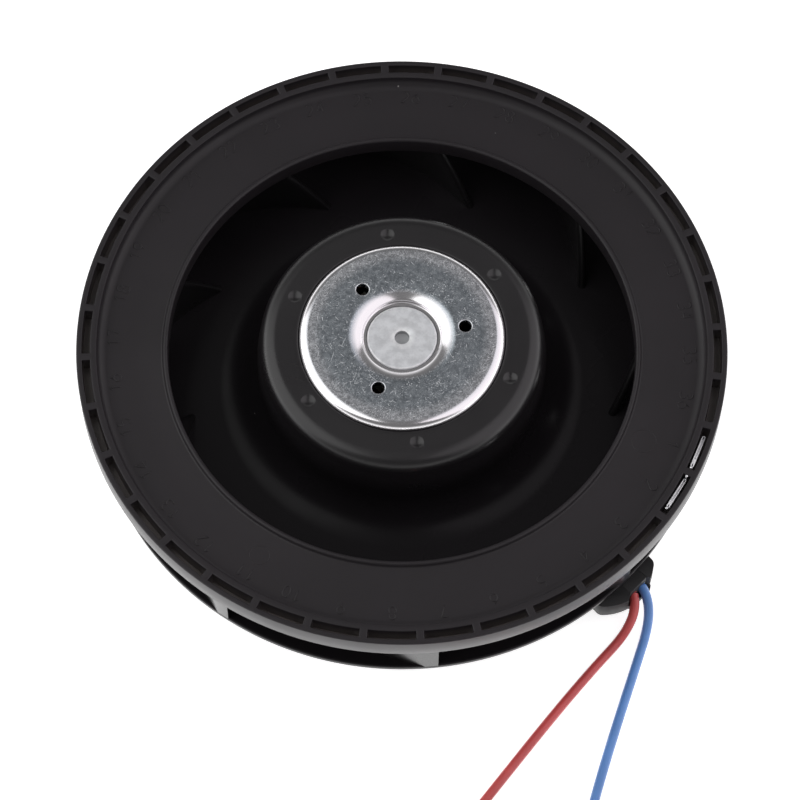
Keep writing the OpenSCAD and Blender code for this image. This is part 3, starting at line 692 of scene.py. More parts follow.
ZINC = zinc_plate()
CAST = metal("die_cast_zinc", (0.80, 0.82, 0.84), 0.50, fine=2600.0, broad=700.0, relief=0.9,
             tarnish=0.72, solid=0.4)
SPRING = metal("spring_steel", (0.80, 0.80, 0.82), 0.26, relief=0.02)
GROUND = metal("ground_steel", (0.70, 0.71, 0.73), 0.14, relief=0.05)
BRASS = metal("turned_brass", (0.80, 0.58, 0.24), 0.24, relief=0.10)
TIN = metal("tinned_copper", (0.78, 0.78, 0.80), 0.28, relief=0.3)
SOLDER = metal("solder", (0.74, 0.75, 0.77), 0.22, fine=900.0, relief=0.3)

# %% [markdown]
# Three hidden pieces have a pattern of their own. The core is a stack of thin sheets, so a wave
# in height draws its lines. The windings are enamelled wire side by side, and the circuit board
# has copper tracks that show through the green solder resist.

# %% Core, windings and board


def banded(name, dark, light, bands, roughness, direction):
    """Parallel lines across one axis, `bands` of them to the metre."""
    material, tree, shader = new_finish(name, Metallic=1.0)
    keys = {"Vector": object_point(tree), "Scale": bands / math.tau, "Distortion": 0.3}
    wave = put(tree, "ShaderNodeTexWave", keys, bands_direction=direction).outputs["Fac"]
    tree.links.new(blend_colour(tree, wave, dark + (1,), light + (1,)), shader["Base Color"])
    cloud = place_group(tree, GRAIN, Fine=1500.0, Broad=200.0)["Cloud"]
    rough = ramp(tree, cloud, 0, 1, roughness - 0.06, roughness + 0.06)
    tree.links.new(rough, shader["Roughness"])
    bump(tree, shader, wave, 0.7, 0.00008)
    return material


def circuit_green():
    """Solder resist over copper tracks, which stand a little proud."""
    material, tree, shader = new_finish("solder_resist", Coat_Weight=0.6, Coat_Roughness=0.12)
    keys = {"Vector": object_point(tree), "Scale": 420.0, "Randomness": 0.0}
    cells = put(tree, "ShaderNodeTexVoronoi", keys, distance="CHEBYCHEV",
                voronoi_dimensions="2D")
    tracks = ramp(tree, cells.outputs["Distance"], 0.36, 0.42)
    base = blend_colour(tree, tracks, (0.010, 0.085, 0.030, 1), (0.022, 0.17, 0.055, 1))
    tree.links.new(base, shader["Base Color"])
    cloud = place_group(tree, GRAIN, Fine=1200.0, Broad=180.0)["Cloud"]
    tree.links.new(ramp(tree, cloud, 0, 1, 0.32, 0.40), shader["Roughness"])
    bump(tree, shader, tracks, 0.6, 0.00004)
    return material


LAMINATION = banded("laminated_steel", (0.16, 0.16, 0.17), (0.42, 0.43, 0.45), 2000, 0.42, "Z")
COPPER = banded("enamelled_wire", (0.16, 0.035, 0.010), (0.62, 0.20, 0.06), 4000, 0.30, "Z")
BOARD = circuit_green()
print("materials:", len(bpy.data.materials))

# %% [markdown]
# ## Making the leads
# The insulation is one tube, swept along the whole path and cut off square at its ends. The
# bared end is a twisted strand: its radius rises and falls around, and the pattern turns as it
# goes along. A cable tie holds each coil. It is a strap with rounded edges, carried round the
# bundle, with a ratchet head on the outside.

# %% Lead tubes and tips
TIP_R = 0.45
TWIST_PITCH = 5.0  # length of one turn of the strand's lay


def insulated_lead(name, path):
    """A tube of the lead's radius along its path, cut off square at both ends."""
    rings = capped(swept(path, LEAD_R, sides=16))
    return make_piece(name, Shell().add(rings, around=True), sharp=60)


def twisted_tip(name, start):
    """Strands twisted together: radius = R (0.86 + 0.14 |cos 3.5 (a - turn)|), along +X."""
    x = np.linspace(-0.6, TIP, 34)[:, None]
    a = np.linspace(0, math.tau, 42, endpoint=False)[None, :]
    r = TIP_R * (0.86 + 0.14 * np.abs(np.cos(3.5 * (a - math.tau * x / TWIST_PITCH))))
    r = r * np.sqrt(1 - np.clip((x - TIP + 0.35) / 0.35, 0, 1) ** 2)
    r[0] = 0
    along = start[0] + x + 0 * a
    grid = np.stack([along, start[1] + r * np.cos(a), TIP_R + 0.02 + r * np.sin(a)], axis=-1)
    grid[..., 2] += (start[2] - TIP_R) * smooth_step((1.6 - x) / 2.2)
    return make_piece(name, Shell().add(grid, around=True), sharp=80)


# %% [markdown]
# The strap's path is a rounded rectangle that stands across the coil's ring. Its section is a
# flat rectangle with rounded corners. Both are closed, so the grid wraps round both ways.

# %% Cable ties
TIE_ANGLE = 60.0
TIE_WIDTH = 2.2
TIE_SHEET = 0.5
BUNDLE_MID = 7.5
BUNDLE_WIDTH = 4.5
BUNDLE_HEIGHT = 3.0


def rounded_rectangle(half_width, half_height, radius, per_corner=6):
    """Points round a rectangle with quarter circles at its corners, counter-clockwise."""
    w, h = half_width - radius, half_height - radius
    corners = [(w, h, 0), (-w, h, 90), (-w, -h, 180), (w, -h, 270)]
    return outline(*[arc((x, y), radius, a, a + 90, per_corner) for x, y, a in corners])


def rounded_block(centre, size, radius, steps=4):
    """A block with round edges: a sphere whose eight octants are pulled apart.

    A point is sign * (half size - radius) + radius * direction, and the two middle lines of
    latitude and longitude appear twice, once with each sign.
    """
    quarter = np.linspace(0, 90, steps + 1)
    lon = np.radians(np.concatenate([quarter + k for k in (0, 90, 180, 270)]))
    lat = np.radians(np.concatenate([quarter - 90, quarter]))
    sx = np.repeat([1, -1, -1, 1], steps + 1)
    sy = np.repeat([1, 1, -1, -1], steps + 1)
    sz = np.repeat([-1, 1], steps + 1)
    half = np.asarray(size) / 2 - radius
    flat = np.cos(lat)[:, None]
    grid = np.stack([
        sx * half[0] + radius * flat * np.cos(lon),
        sy * half[1] + radius * flat * np.sin(lon),
        sz[:, None] * half[2] + radius * np.sin(lat)[:, None] + 0 * lon,
    ], axis=-1)
    return capped(grid) + np.asarray(centre)


def turned(grid, angle, centre=(0.0, 0.0)):
    """A grid turned about +Z by an angle in degrees, and then moved to a centre."""
    c, s = math.cos(math.radians(angle)), math.sin(math.radians(angle))
    x, y, z = grid[..., 0], grid[..., 1], grid[..., 2]
    return np.stack([c * x - s * y + centre[0], s * x + c * y + centre[1], z], axis=-1)


def cable_tie(name, centre):
    """A strap round the bundle, its ratchet head and the cut end of the strap."""
    low, high = 0.06, BUNDLE_HEIGHT + TIE_SHEET / 2
    loop = rounded_rectangle((BUNDLE_WIDTH + TIE_SHEET) / 2, (high - low) / 2, 0.8)
    inward = loop / np.linalg.norm(loop, axis=1, keepdims=True)
    section = rounded_rectangle(TIE_SHEET / 2, TIE_WIDTH / 2, 0.12, 4)
    reach = loop[:, None] + inward[:, None] * section[None, :, :1]
    strap = np.stack([
        BUNDLE_MID + reach[..., 0],
        np.broadcast_to(section[:, 1], reach.shape[:2]),
        np.maximum((low + high) / 2 + reach[..., 1], 0.02),
    ], axis=-1)
    strap = np.concatenate([strap, strap[:1]])
    side = BUNDLE_MID + BUNDLE_WIDTH / 2 + TIE_SHEET
    head = rounded_block((side + 0.75, 0, 1.8), (1.5, TIE_WIDTH + 0.8, 2.2), 0.25)
    end = rounded_block((side + 0.85, 0, 2.95), (TIE_SHEET, TIE_WIDTH - 0.2, 1.0), 0.1)
    shell = Shell().add(turned(strap, TIE_ANGLE, centre), around=True)
    shell.add(turned(head, TIE_ANGLE, centre), around=True)
    shell.add(turned(end, TIE_ANGLE, centre), around=True)
    return make_piece(name, shell)


# %% Both leads
for colour, path, centre, pvc in (
    ("red", red_path, RED_COIL, RED_PVC),
    ("blue", blue_path, BLUE_COIL, BLUE_PVC),
):
    lead = dress(insulated_lead(f"{colour}_wire", path), "motor", f"{colour}_insulation", pvc,
                 [f"{colour}_lead", f"{colour}_lead_coil"])
    tie = dress(cable_tie(f"{colour}_tie", centre), "motor", "tie_plastic", TIE_BLACK,
                [f"{colour}_lead_tie"])
    tip = dress(twisted_tip(f"{colour}_bared_end", path[-1]), "motor", "solder", TIN,
                [f"{colour}_lead_tip"])

# %% [markdown]
# ## The front moulding
# This is the ring that carries the number marks. Seen in section it starts at the inlet collar,
# rolls over a small lip, sinks into a groove, runs flat as the plate and rises with a fillet to
# the rim. Behind the rim's outer wall lie 36 balancing slots. A boolean would cut them with
# knife edges, so the height of the rim is a formula instead: inside a slot's outline the surface
# drops, first along a small quarter circle and then steeply. The grid has lines exactly where
# the slots' walls stand.

# %% Front moulding: section and slots
INLET_R = 36.0
PLATE_Z = RIM_Z - 1.8
LIP_Z = RIM_Z - 1.2
RIM_LOW = RIM_Z - 3.8
RIM_IN = FAN_R - 3.1
SLOT_IN, SLOT_OUT = FAN_R - 2.1, FAN_R - 0.85
SLOT_DEPTH = 2.7
SLOT_COUNT = 36
SLOT_STEP = 360 / SLOT_COUNT
SLOT_FIRST = -20 + TURN
RIB = 1.2  # width of the wall between two slots
SLOT_ROUND = 0.13  # radius of a slot's upper edge
WALL_LINES = np.array([-SLOT_ROUND, -0.09, -0.04, -0.01, 0.0, 0.07])
SLOT_MID = (SLOT_IN + SLOT_OUT) / 2
MM_TO_DEG = math.degrees(1 / SLOT_MID)
SLOT_HALF = 180 / SLOT_COUNT - RIB / 2 * MM_TO_DEG


def slot_drop(r, angle):
    """How far the rim's top lies sunk at a radius and an angle.

    d is the distance inside the slot's outline. From -e to 0 the surface follows a quarter
    circle of radius e, and from 0 it falls to the full depth within 0.07 mm.
    """
    half = SLOT_STEP / 2
    from_middle = np.abs((angle - SLOT_FIRST + half) % SLOT_STEP - half)
    d = np.minimum(
        np.minimum(r - SLOT_IN, SLOT_OUT - r), (SLOT_HALF - from_middle) / MM_TO_DEG
    )
    e = SLOT_ROUND
    rounded = e - np.sqrt(np.maximum(e * e - np.clip(d + e, 0, e) ** 2, 0))
    fall = np.clip(d / WALL_LINES[-1], 0, 1) * (SLOT_DEPTH - e)
    return rounded + fall


def front_section():
    """The section, from the collar's lower edge over the front and back underneath."""
    across = np.concatenate([SLOT_IN + WALL_LINES, [SLOT_MID], (SLOT_OUT - WALL_LINES)[::-1]])
    top = np.stack([across, np.full(len(across), RIM_Z)], axis=1)
    return outline(
        arc((INLET_R + 0.3, COLLAR_Z + 0.3), 0.3, 270, 180, 5),
        (INLET_R, LIP_Z - 1.5),
        arc((INLET_R + 0.4, LIP_Z - 0.4), 0.4, 180, 15, 14),
        arc((INLET_R + 1.15, PLATE_Z + 0.35), 0.35, 195, 270, 6),
        (INLET_R + 5.5, PLATE_Z), (INLET_R + 8.0, PLATE_Z),
        arc((RIM_IN - 1.5, PLATE_Z + 1.5), 1.5, 270, 360, 12),
        (RIM_IN, RIM_Z - 0.2), arc((RIM_IN + 0.08, RIM_Z - 0.08), 0.08, 180, 90, 3),
        top,
        arc((FAN_R - 0.2, RIM_Z - 0.2), 0.2, 90, 0, 5),
        (FAN_R, (RIM_Z + RIM_LOW) / 2),
        arc((FAN_R - 0.15, RIM_LOW + 0.15), 0.15, 0, -90, 4),
        (RIM_IN - 0.4, RIM_LOW),
        arc((RIM_IN - 1.2, PLATE_Z - 1.3), 0.2, 300, 270, 3),
        arc((INLET_R + 3.9, COLLAR_Z - 1.25), 2.45, 90, 150, 12),
        (INLET_R + 1.5, COLLAR_Z),
    )


def slot_angles():
    """Angles with a line in each rib, at each wall of each slot and a few along it."""
    ends = -SLOT_HALF + WALL_LINES * MM_TO_DEG
    one = np.concatenate([ends, np.linspace(ends[-1], -ends[-1], 7)[1:-1], -ends[::-1],
                          [SLOT_STEP / 2]])
    starts = SLOT_FIRST + np.arange(SLOT_COUNT) * SLOT_STEP
    return (starts[:, None] + one).reshape(-1)


section, angles = front_section(), slot_angles()
front = revolved(section, angles)
on_top = np.isclose(section[:, 1], RIM_Z) & (section[:, 0] > SLOT_IN - 0.5)
radii = section[on_top, 0][:, None]
drop = slot_drop(radii, angles[None, :] + 0 * radii)
front[on_top, :, 2] -= drop
# Rim corners get an `edge` of 1, lighter as wear and painted highlight; inside the slots it falls
# to -1, which paints light on the slot floors.
edges = np.where(section[:, 0] > RIM_IN + 1, corners_of(section), 0.0)[:, None] + 0 * front[..., 0]
edges[on_top] -= smooth_step(2 * drop - 0.4)
front = np.concatenate([front, front[:1]])
edges = np.concatenate([edges, edges[:1]])
dress(
    make_piece("front_moulding", Shell().add(front, around=True, edge=edges), sharp=50),
    "impeller", "black_plastic", PLATE_BLACK, ["impeller_shroud"])

# %% [markdown]
# ## Number marks
# The moulding numbers its slots from 1 to 36, so that a balancing machine can say where a clip
# goes. The marks are plain single-stroke digits, 2 mm high, engraved in the tool and so raised
# on the part. Each digit is a few strokes: straight lines, and bows that are parts of an
# ellipse. A thin round ridge is swept along every stroke, half sunk in the plate.

# %% Digits
DIGIT_HEIGHT = 2.0
DIGIT_RING_R = 44.3
DIGIT_PITCH = 0.85  # from one digit to the next, in heights
RIDGE_R = 0.13


def bow(x, y, rx, ry, start, end, count=9):
    """Points on an ellipse about (x, y)."""
    a = np.radians(np.linspace(start, end, count))
    return np.stack([x + rx * np.cos(a), y + ry * np.sin(a)], axis=1)


def stroke(*points):
    """A line through the points, with a few more between them."""
    p = np.array(points, float)
    t = np.linspace(0, len(p) - 1, 4 * (len(p) - 1) + 1)
    return np.stack([np.interp(t, np.arange(len(p)), p[:, k]) for k in (0, 1)], axis=1)


DIGITS = {
    0: [bow(0.3, 0.5, 0.28, 0.5, 90, 450, 17)],
    1: [stroke((0.1, 0.75), (0.35, 1.0), (0.35, 0.0))],
    2: [np.concatenate([bow(0.3, 0.72, 0.27, 0.28, 160, -35), [(0.03, 0.0)], [(0.6, 0.0)]])],
    3: [bow(0.28, 0.75, 0.26, 0.25, 150, -90), bow(0.28, 0.26, 0.3, 0.26, 90, -150)],
    4: [stroke((0.45, 0.0), (0.45, 1.0), (0.0, 0.3), (0.62, 0.3))],
    5: [np.concatenate([[(0.55, 1.0)], [(0.12, 1.0)], bow(0.28, 0.31, 0.3, 0.31, 122, -145)])],
    6: [np.concatenate([[(0.5, 1.0)], bow(0.3, 0.3, 0.28, 0.3, 140, 500, 15)])],
    7: [stroke((0.02, 1.0), (0.58, 1.0), (0.2, 0.0))],
    8: [bow(0.3, 0.76, 0.23, 0.24, 270, -90, 13), bow(0.3, 0.26, 0.29, 0.26, 90, 450, 15)],
    9: [np.concatenate([[(0.1, 0.0)], bow(0.3, 0.7, 0.28, 0.3, -40, 320, 15)])],
}


def number_ridges(shell, number, angle):
    """Adds the ridges of one number, centred at an angle, with its top outwards."""
    text = str(number)
    for place_in_row, letter in enumerate(text):
        shift = (place_in_row - (len(text) - 1) / 2) * DIGIT_PITCH - 0.3
        for line in DIGITS[int(letter)]:
            right = (line[:, 0] + shift) * DIGIT_HEIGHT
            up = DIGIT_RING_R + (line[:, 1] - 0.5) * DIGIT_HEIGHT
            path = np.stack([up, -right, np.full(len(line), PLATE_Z - 0.02)], axis=1)
            ridge = swept(path, RIDGE_R * closing(len(path)), sides=8, flat=0.85)
            shell.add(turned(ridge, angle), around=True)


marks = Shell()
for number in range(1, SLOT_COUNT + 1):
    number_ridges(marks, number, SLOT_FIRST + SLOT_STEP - SLOT_STEP * number)
dress(make_piece("number_marks", marks, merge=0.001, sharp=70),
      "impeller", "black_plastic", DIGIT_BLACK)

# %% [markdown]
# A moulded plate often shows round marks where ejectors or exchangeable inserts of the tool met
# the plastic. Two thin raised rings stand for such marks here, with nothing inside them.

# %% Round tool marks
TOOL_MARKS = [(40.1, -24.3, 1.9), (40.9, -122.3, 1.5)]  # radius, angle, size of the ring


def ring_ridge(radius, angle, size, wire=0.07):
    """A thin ring, half sunk in the plate."""
    a = np.radians(np.linspace(0, 360, 49))
    path = np.stack([size * np.cos(a), size * np.sin(a), 0 * a + PLATE_Z - 0.03], axis=1)
    x, y = radius * math.cos(math.radians(angle)), radius * math.sin(math.radians(angle))
    return turned(swept(path, wire, sides=8), 0, (x, y))


rings = Shell()
for radius, angle, size in TOOL_MARKS:
    rings.add(ring_ridge(radius, angle, size), around=True)
dress(make_piece("tool_marks", rings, sharp=70), "impeller", "black_plastic", DIGIT_BLACK)

# %% [markdown]
# ## Round features on a ring
# The hub ring has six small dimples and the steel cup has three holes. Both lie on a flat ring
# that is part of a turned shape. A grid of circles and spokes can't show a clean round hole, so
# each hole gets a patch: its outer loop follows the lines of the grid, and its inner loops are
# true circles. Between the patches the ring is an ordinary grid, and all seams share points.

# %% Patches with a round feature


def sector_loop(inner, outer, middle, half, steps):
    """Points round one sector of a ring, `steps` to a side, counter-clockwise."""
    r = np.linspace(inner, outer, steps, endpoint=False)
    r_back = np.linspace(outer, inner, steps, endpoint=False)
    a = np.linspace(middle - half, middle + half, steps, endpoint=False)
    a_back = np.linspace(middle + half, middle - half, steps, endpoint=False)
    one = np.ones(steps)
    radius = np.concatenate([r, outer * one, r_back, inner * one])
    angle = np.radians(np.concatenate([(middle - half) * one, a, (middle + half) * one, a_back]))
    return np.stack([radius * np.cos(angle), radius * np.sin(angle)], axis=1)


def featured_ring(shell, inner, outer, z, first, count, half, steps, between, circles):
    """A flat ring with `count` round features.

    `circles` lists (radius, height, edge) from the outermost circle inwards. If the last entry
    has no radius, the patch ends in the same sector outline at that entry's height, which makes
    a hole right through a sheet. The plain ring is then made on that side too.
    """
    pitch = 360 / count
    middle_r = (inner + outer) / 2
    through = circles[-1][0] is None
    for k in range(count):
        middle = first + k * pitch
        loop = sector_loop(inner, outer, middle, half, steps)
        centre = middle_r * np.array([math.cos(math.radians(middle)),
                                      math.sin(math.radians(middle))])
        away = loop - centre
        way = away / np.linalg.norm(away, axis=1, keepdims=True)
        rows, edges = [], []
        for radius, height, edge in [(None, z, 0.0)] + circles:
            flat = loop if radius is None else centre + radius * way
            rows.append(np.column_stack([flat, np.full(len(flat), height)]))
            edges.append(edge)
        halfway = (rows[0] + rows[1]) / 2
        rows.insert(1, halfway)
        edges.insert(1, 0.0)
        grid = np.stack(rows)
        shell.add(grid, around=True, edge=np.array(edges)[:, None])
        gap = np.linspace(middle + half, middle + pitch - half, between + 1)
        for height in [z] + ([circles[-1][1]] if through else []):
            flat = np.stack([np.linspace(inner, outer, steps + 1),
                             np.full(steps + 1, height)], axis=1)
            shell.add(revolved(flat, gap))


def ring_angles(first, count, half, steps, between):
    """All angle lines of such a ring, closed, so that the turned parts beside it can share them."""
    pitch = 360 / count
    one = np.concatenate([np.linspace(-half, half, steps, endpoint=False),
                          np.linspace(half, pitch - half, between, endpoint=False)])
    lines = (first + np.arange(count)[:, None] * pitch + one).reshape(-1)
    return np.append(lines, lines[0] + 360)


# %% [markdown]
# ## The rear moulding
# The back plate, the flare, the wall round the motor and the ring on top are one moulding. The
# flare turns the air outwards and is a quarter circle. The wall leans out a little towards its
# foot, and the shoulder above it is broad and round, which gives the ring a long soft highlight.

# %% Rear moulding
PLATE_T = 1.2
HUB_R = 22.0
FLARE_R = 6.2
FLARE_AT = HUB_R + 0.4 + FLARE_R
SHOULDER = 2.5
WHEEL_Z = BACK_Z + PLATE_T
SLEEVE_R = CUP_R + 1.4
SLEEVE_Z = 9.0
DIMPLE_COUNT = 6
DIMPLE_STEPS, PLAIN_STEPS = 6, 30  # grid lines in a dimple's patch and between two patches
RIB_COUNT = 9  # hidden ribs between the wall and the sleeve round the cup
RIB_MID_Z, RIB_WIDTH, RIB_TALL = 17.3, 1.0, 10.6
DIMPLE_R = 17.9
DIMPLE_REACH = 1.15  # half width of the ring that the dimples lie on
DIMPLE_FIRST = 39 + TURN
SHOULDER_Z = HUB_Z - SHOULDER

outside = outline(
    (DIMPLE_R + DIMPLE_REACH, HUB_Z), (HUB_R - 0.1 - SHOULDER, HUB_Z),
    arc((HUB_R - 0.1 - SHOULDER, SHOULDER_Z), SHOULDER, 90, 0, 22)[1:],
    (HUB_R - 0.04, SHOULDER_Z - 0.8), (HUB_R + 0.08, SHOULDER_Z - 1.6),
    (HUB_R + 0.30, SHOULDER_Z - 3.0),
    arc((FLARE_AT, WHEEL_Z + FLARE_R), FLARE_R, 180, 270, 22),
    (FLARE_AT + 6, WHEEL_Z), (FLARE_AT + 13, WHEEL_Z),
    arc((BACK_R - 0.3, WHEEL_Z - 0.3), 0.3, 90, 0, 5),
    arc((BACK_R - 0.3, BACK_Z + 0.3), 0.3, 0, -90, 5),
    (FLARE_AT + 13, BACK_Z), (FLARE_AT + 6, BACK_Z),
    arc((FLARE_AT, WHEEL_Z + FLARE_R), FLARE_R + PLATE_T, 270, 180, 18),
    (HUB_R - 1.4, SHOULDER_Z), (HUB_R - 3.0, HUB_Z - 1.6), (SLEEVE_R, HUB_Z - 1.6),
    arc((SLEEVE_R - 0.2, SLEEVE_Z + 0.2), 0.2, 0, -90, 3),
    arc((CUP_R + 0.2, SLEEVE_Z + 0.2), 0.2, 270, 180, 3),
    (CUP_R + 0.02, HUB_Z - 1.0), arc((CUP_R + 0.22, HUB_Z - 0.2), 0.2, 180, 90, 5),
    (DIMPLE_R - DIMPLE_REACH, HUB_Z),
)
dimple = [(1.08, HUB_Z, 0.0), (1.0, HUB_Z - 0.03, 0.0), (0.9, HUB_Z - 0.08, 0.0),
          (0.74, HUB_Z - 0.17, 0.0), (0.52, HUB_Z - 0.26, 0.0), (0.26, HUB_Z - 0.31, 0.0),
          (0.0, HUB_Z - 0.33, 0.0)]
dimple_half = math.degrees(DIMPLE_REACH / DIMPLE_R)
hub_lines = ring_angles(DIMPLE_FIRST, DIMPLE_COUNT, dimple_half, DIMPLE_STEPS, PLAIN_STEPS)
rear = Shell()
# Sharp corners of the section get an `edge` of 1, lighter as wear and painted highlight.
rear_edges = corners_of(outside)
rear_edges[[0, -1]] = 0
rear.add(revolved(outside, hub_lines), edge=rear_edges[:, None])
featured_ring(rear, DIMPLE_R - DIMPLE_REACH, DIMPLE_R + DIMPLE_REACH, HUB_Z, DIMPLE_FIRST,
              DIMPLE_COUNT, dimple_half, DIMPLE_STEPS, PLAIN_STEPS, dimple)
for k in range(RIB_COUNT):
    rib = rounded_block(((SLEEVE_R + HUB_R - 1.4) / 2, 0, RIB_MID_Z),
                        (HUB_R - 1.2 - SLEEVE_R, RIB_WIDTH, RIB_TALL), 0.2)
    rear.add(turned(rib, 360 / RIB_COUNT * k + TURN), around=True)
dress(make_piece("rear_moulding", rear, sharp=50),
      "impeller", "black_plastic", HUB_BLACK, ["impeller_wheel"])

# %% [markdown]
# ## Blades
# Nine blades lean backwards, away from the direction of rotation. In plan a blade is part of a
# ring between two circles whose common centre lies well off the shaft. Its leading edge is round
# and slants: under the collar it starts further out than on the back plate. The top follows the
# underside of the front moulding, and both ends are sunk a little into the mouldings.

# %% Blades
BLADE_COUNT = 9
BLADE_ARC_R = 33.9  # outer face
BLADE_T = 1.3
BLADE_CENTRE_R = 17.8
BLADE_CENTRE_ANGLE = 66.7 + TURN
BLADE_FOOT_R = 32.7
BLADE_HEAD_R = INLET_R + 0.2
BLADE_END = 2.3  # degrees of the circumference that the flush end of a blade covers
CAMBER_R = BLADE_ARC_R - BLADE_T / 2


def arc_angle(circle_r, radius):
    """Angle on a circle round the blade's centre at which the shaft is `radius` away.

    By the cosine rule, with the angle counted from the line through the shaft and the centre.
    """
    c = BLADE_CENTRE_R
    return -np.arccos((radius**2 - c**2 - circle_r**2) / (2 * c * circle_r))


def blade_loop(lead_r):
    """Outline of a blade in plan for each leading radius: nose, outer face, tip, inner face."""
    lead_r = np.asarray(lead_r)[:, None]
    half = BLADE_T / 2
    nose = arc_angle(CAMBER_R, lead_r + half)
    tip = arc_angle(BLADE_ARC_R, BACK_R)
    tip_in = arc_angle(CAMBER_R - half, BACK_R - 1.1)
    corner = math.atan2(math.sin(tip), math.cos(tip) + BLADE_CENTRE_R / BLADE_ARC_R)
    corner += math.radians(BLADE_END)
    t = np.linspace(0, 1, 36)[None, :]
    outer_a = nose + (tip - nose) * t
    inner_a = tip_in + (nose - tip_in) * t
    outer = [BLADE_ARC_R * np.cos(outer_a), BLADE_ARC_R * np.sin(outer_a)]
    inner = [(CAMBER_R - half) * np.cos(inner_a), (CAMBER_R - half) * np.sin(inner_a)]
    spin = np.radians(np.linspace(180, 360, 9)[1:-1])[None, :] + 0 * nose
    ray = CAMBER_R + half * np.cos(spin)
    front_x = ray * np.cos(nose) + half * np.sin(spin) * -np.sin(nose)
    front_y = ray * np.sin(nose) + half * np.sin(spin) * np.cos(nose)
    end_x = BACK_R * math.cos(corner) - BLADE_CENTRE_R + 0 * nose
    end_y = BACK_R * math.sin(corner) + 0 * nose
    x = np.concatenate([front_x, outer[0], end_x, inner[0]], axis=1) + BLADE_CENTRE_R
    y = np.concatenate([front_y, outer[1], end_y, inner[1]], axis=1)
    return x, y


def ceiling(radius):
    """Height of the front moulding's underside at a radius, where the blade ends."""
    section = front_section()
    below = section[np.argmax(section[:, 0] >= FAN_R - 0.15 + 1e-9):]
    below = below[below[:, 1] < RIM_LOW + 0.6][::-1]
    order = np.argsort(below[:, 0], kind="stable")
    return np.interp(radius, below[order, 0], below[order, 1])


def blade_grid():
    """One blade in rows from its foot to its head, before it is turned to its place."""
    v = np.linspace(0, 1, 15)
    lead = BLADE_FOOT_R + (BLADE_HEAD_R - BLADE_FOOT_R) * v
    x, y = blade_loop(lead)
    top = ceiling(np.hypot(x, y)) + 0.25
    low = WHEEL_Z - 0.2
    z = low + (top - low) * v[:, None]
    return capped(np.stack([x, y, z], axis=-1))


blade = blade_grid()
all_blades = Shell()
for k in range(BLADE_COUNT):
    all_blades.add(turned(blade, BLADE_CENTRE_ANGLE + 360 / BLADE_COUNT * k), around=True)
dress(make_piece("blades", all_blades, sharp=38),
      "impeller", "black_plastic", BLADE_BLACK, ["impeller_blades"])

# %% [markdown]
# ## Balancing clips
# Two slots hold a clip of spring steel, pushed in until it stands just below the rim. Seen from
# above, a clip is two bright wires side by side, with a small knob at one end or at both.

# %% Clips
CLIP_HALF = 2.75
CLIP_WIRE = 0.15
CLIP_MID = SLOT_MID - 0.1
# For each clip, how far it sits from its slot's middle in degrees, and the ends with a knob
CLIPS = [(-0.32, (-1,)), (0.48, (-1, 1))]


def clip_grids(angle, knobs):
    """A closed hairpin of wire in the slot at an angle, with a knob at each end named."""
    track = rounded_rectangle(CLIP_HALF, 0.19, 0.18, 6)
    track = np.concatenate([track, track[:1]])
    x = CLIP_MID + track[:, 1]
    dip = 0.5 * smooth_step((np.abs(track[:, 0]) - CLIP_HALF + 0.5) / 0.5)
    path = np.stack([x, track[:, 0], RIM_Z - 0.25 - dip], axis=1)
    yield turned(swept(path, CLIP_WIRE, sides=10), angle)
    leg = np.stack([np.full(9, CLIP_MID), np.linspace(-CLIP_HALF, CLIP_HALF, 9),
                    np.full(9, RIM_Z - 1.2)], axis=1)
    yield turned(swept(leg, 0.3 * closing(9), sides=10, flat=2.4), angle)
    for side in knobs:
        knob = rounded_block((CLIP_MID, side * (CLIP_HALF + 0.34), RIM_Z - 0.36),
                             (0.5, 0.5, 0.8), 0.24)
        yield turned(knob, angle)


clips = Shell()
for k, (shift, knobs) in enumerate(CLIPS):
    for grid in clip_grids(SLOT_FIRST - SLOT_STEP * k + shift, knobs):
        clips.add(grid, around=True)
dress(make_piece("clips", clips, sharp=60), "impeller", "spring_steel", SPRING,
      ["balance_clips"])

# %% [markdown]
# ## The rotor cup
# The cup is drawn from steel sheet and zinc plated. Its rim is a soft roll, its middle is dished
# so that the boss can be riveted in, and three holes let the tool that presses it hold it. The
# sheet keeps its thickness round the roll and through the dish, as drawn steel does.

# %% Cup
SHEET = 1.2
ROLL = 1.5
RING_IN, RING_OUT = 8.55, 11.05  # the flat ring that the holes lie on
HOLE_COUNT = 3
RING_STEPS, BETWEEN_STEPS = 6, 48
HOLE_FIRST = 7.5
UNDER_Z = CUP_Z - SHEET
LEDGE_Z = BOSS_Z - 0.2  # the sheet round the boss
DISH_ROUND = 4.7  # how softly the sheet turns down to it

hole = [(1.22, CUP_Z, 0.0), (1.17, CUP_Z + 0.003, 0.4), (1.06, CUP_Z, 0.5),
        (1.02, CUP_Z - 0.03, 0.4), (1.0, CUP_Z - 0.10, 0.0), (1.0, UNDER_Z, 0.0),
        (1.2, UNDER_Z, 0.0), (None, UNDER_Z, 0.0)]
drum = outline(
    (RING_OUT, CUP_Z), (12.2, CUP_Z), (12.9, CUP_Z), (13.5, CUP_Z),
    arc((CUP_R - ROLL, CUP_Z - ROLL), ROLL, 90, 0, 24),
    (CUP_R, 18.0), (CUP_R, 12.0), arc((CUP_R - 0.2, CUP_LOW + 0.2), 0.2, 0, -90, 4),
    (CUP_R - SHEET, CUP_LOW), (CUP_R - SHEET, 14.0),
    arc((CUP_R - ROLL, CUP_Z - ROLL), ROLL - SHEET, 0, 90, 4),
    (12.8, UNDER_Z), (RING_OUT, UNDER_Z),
)
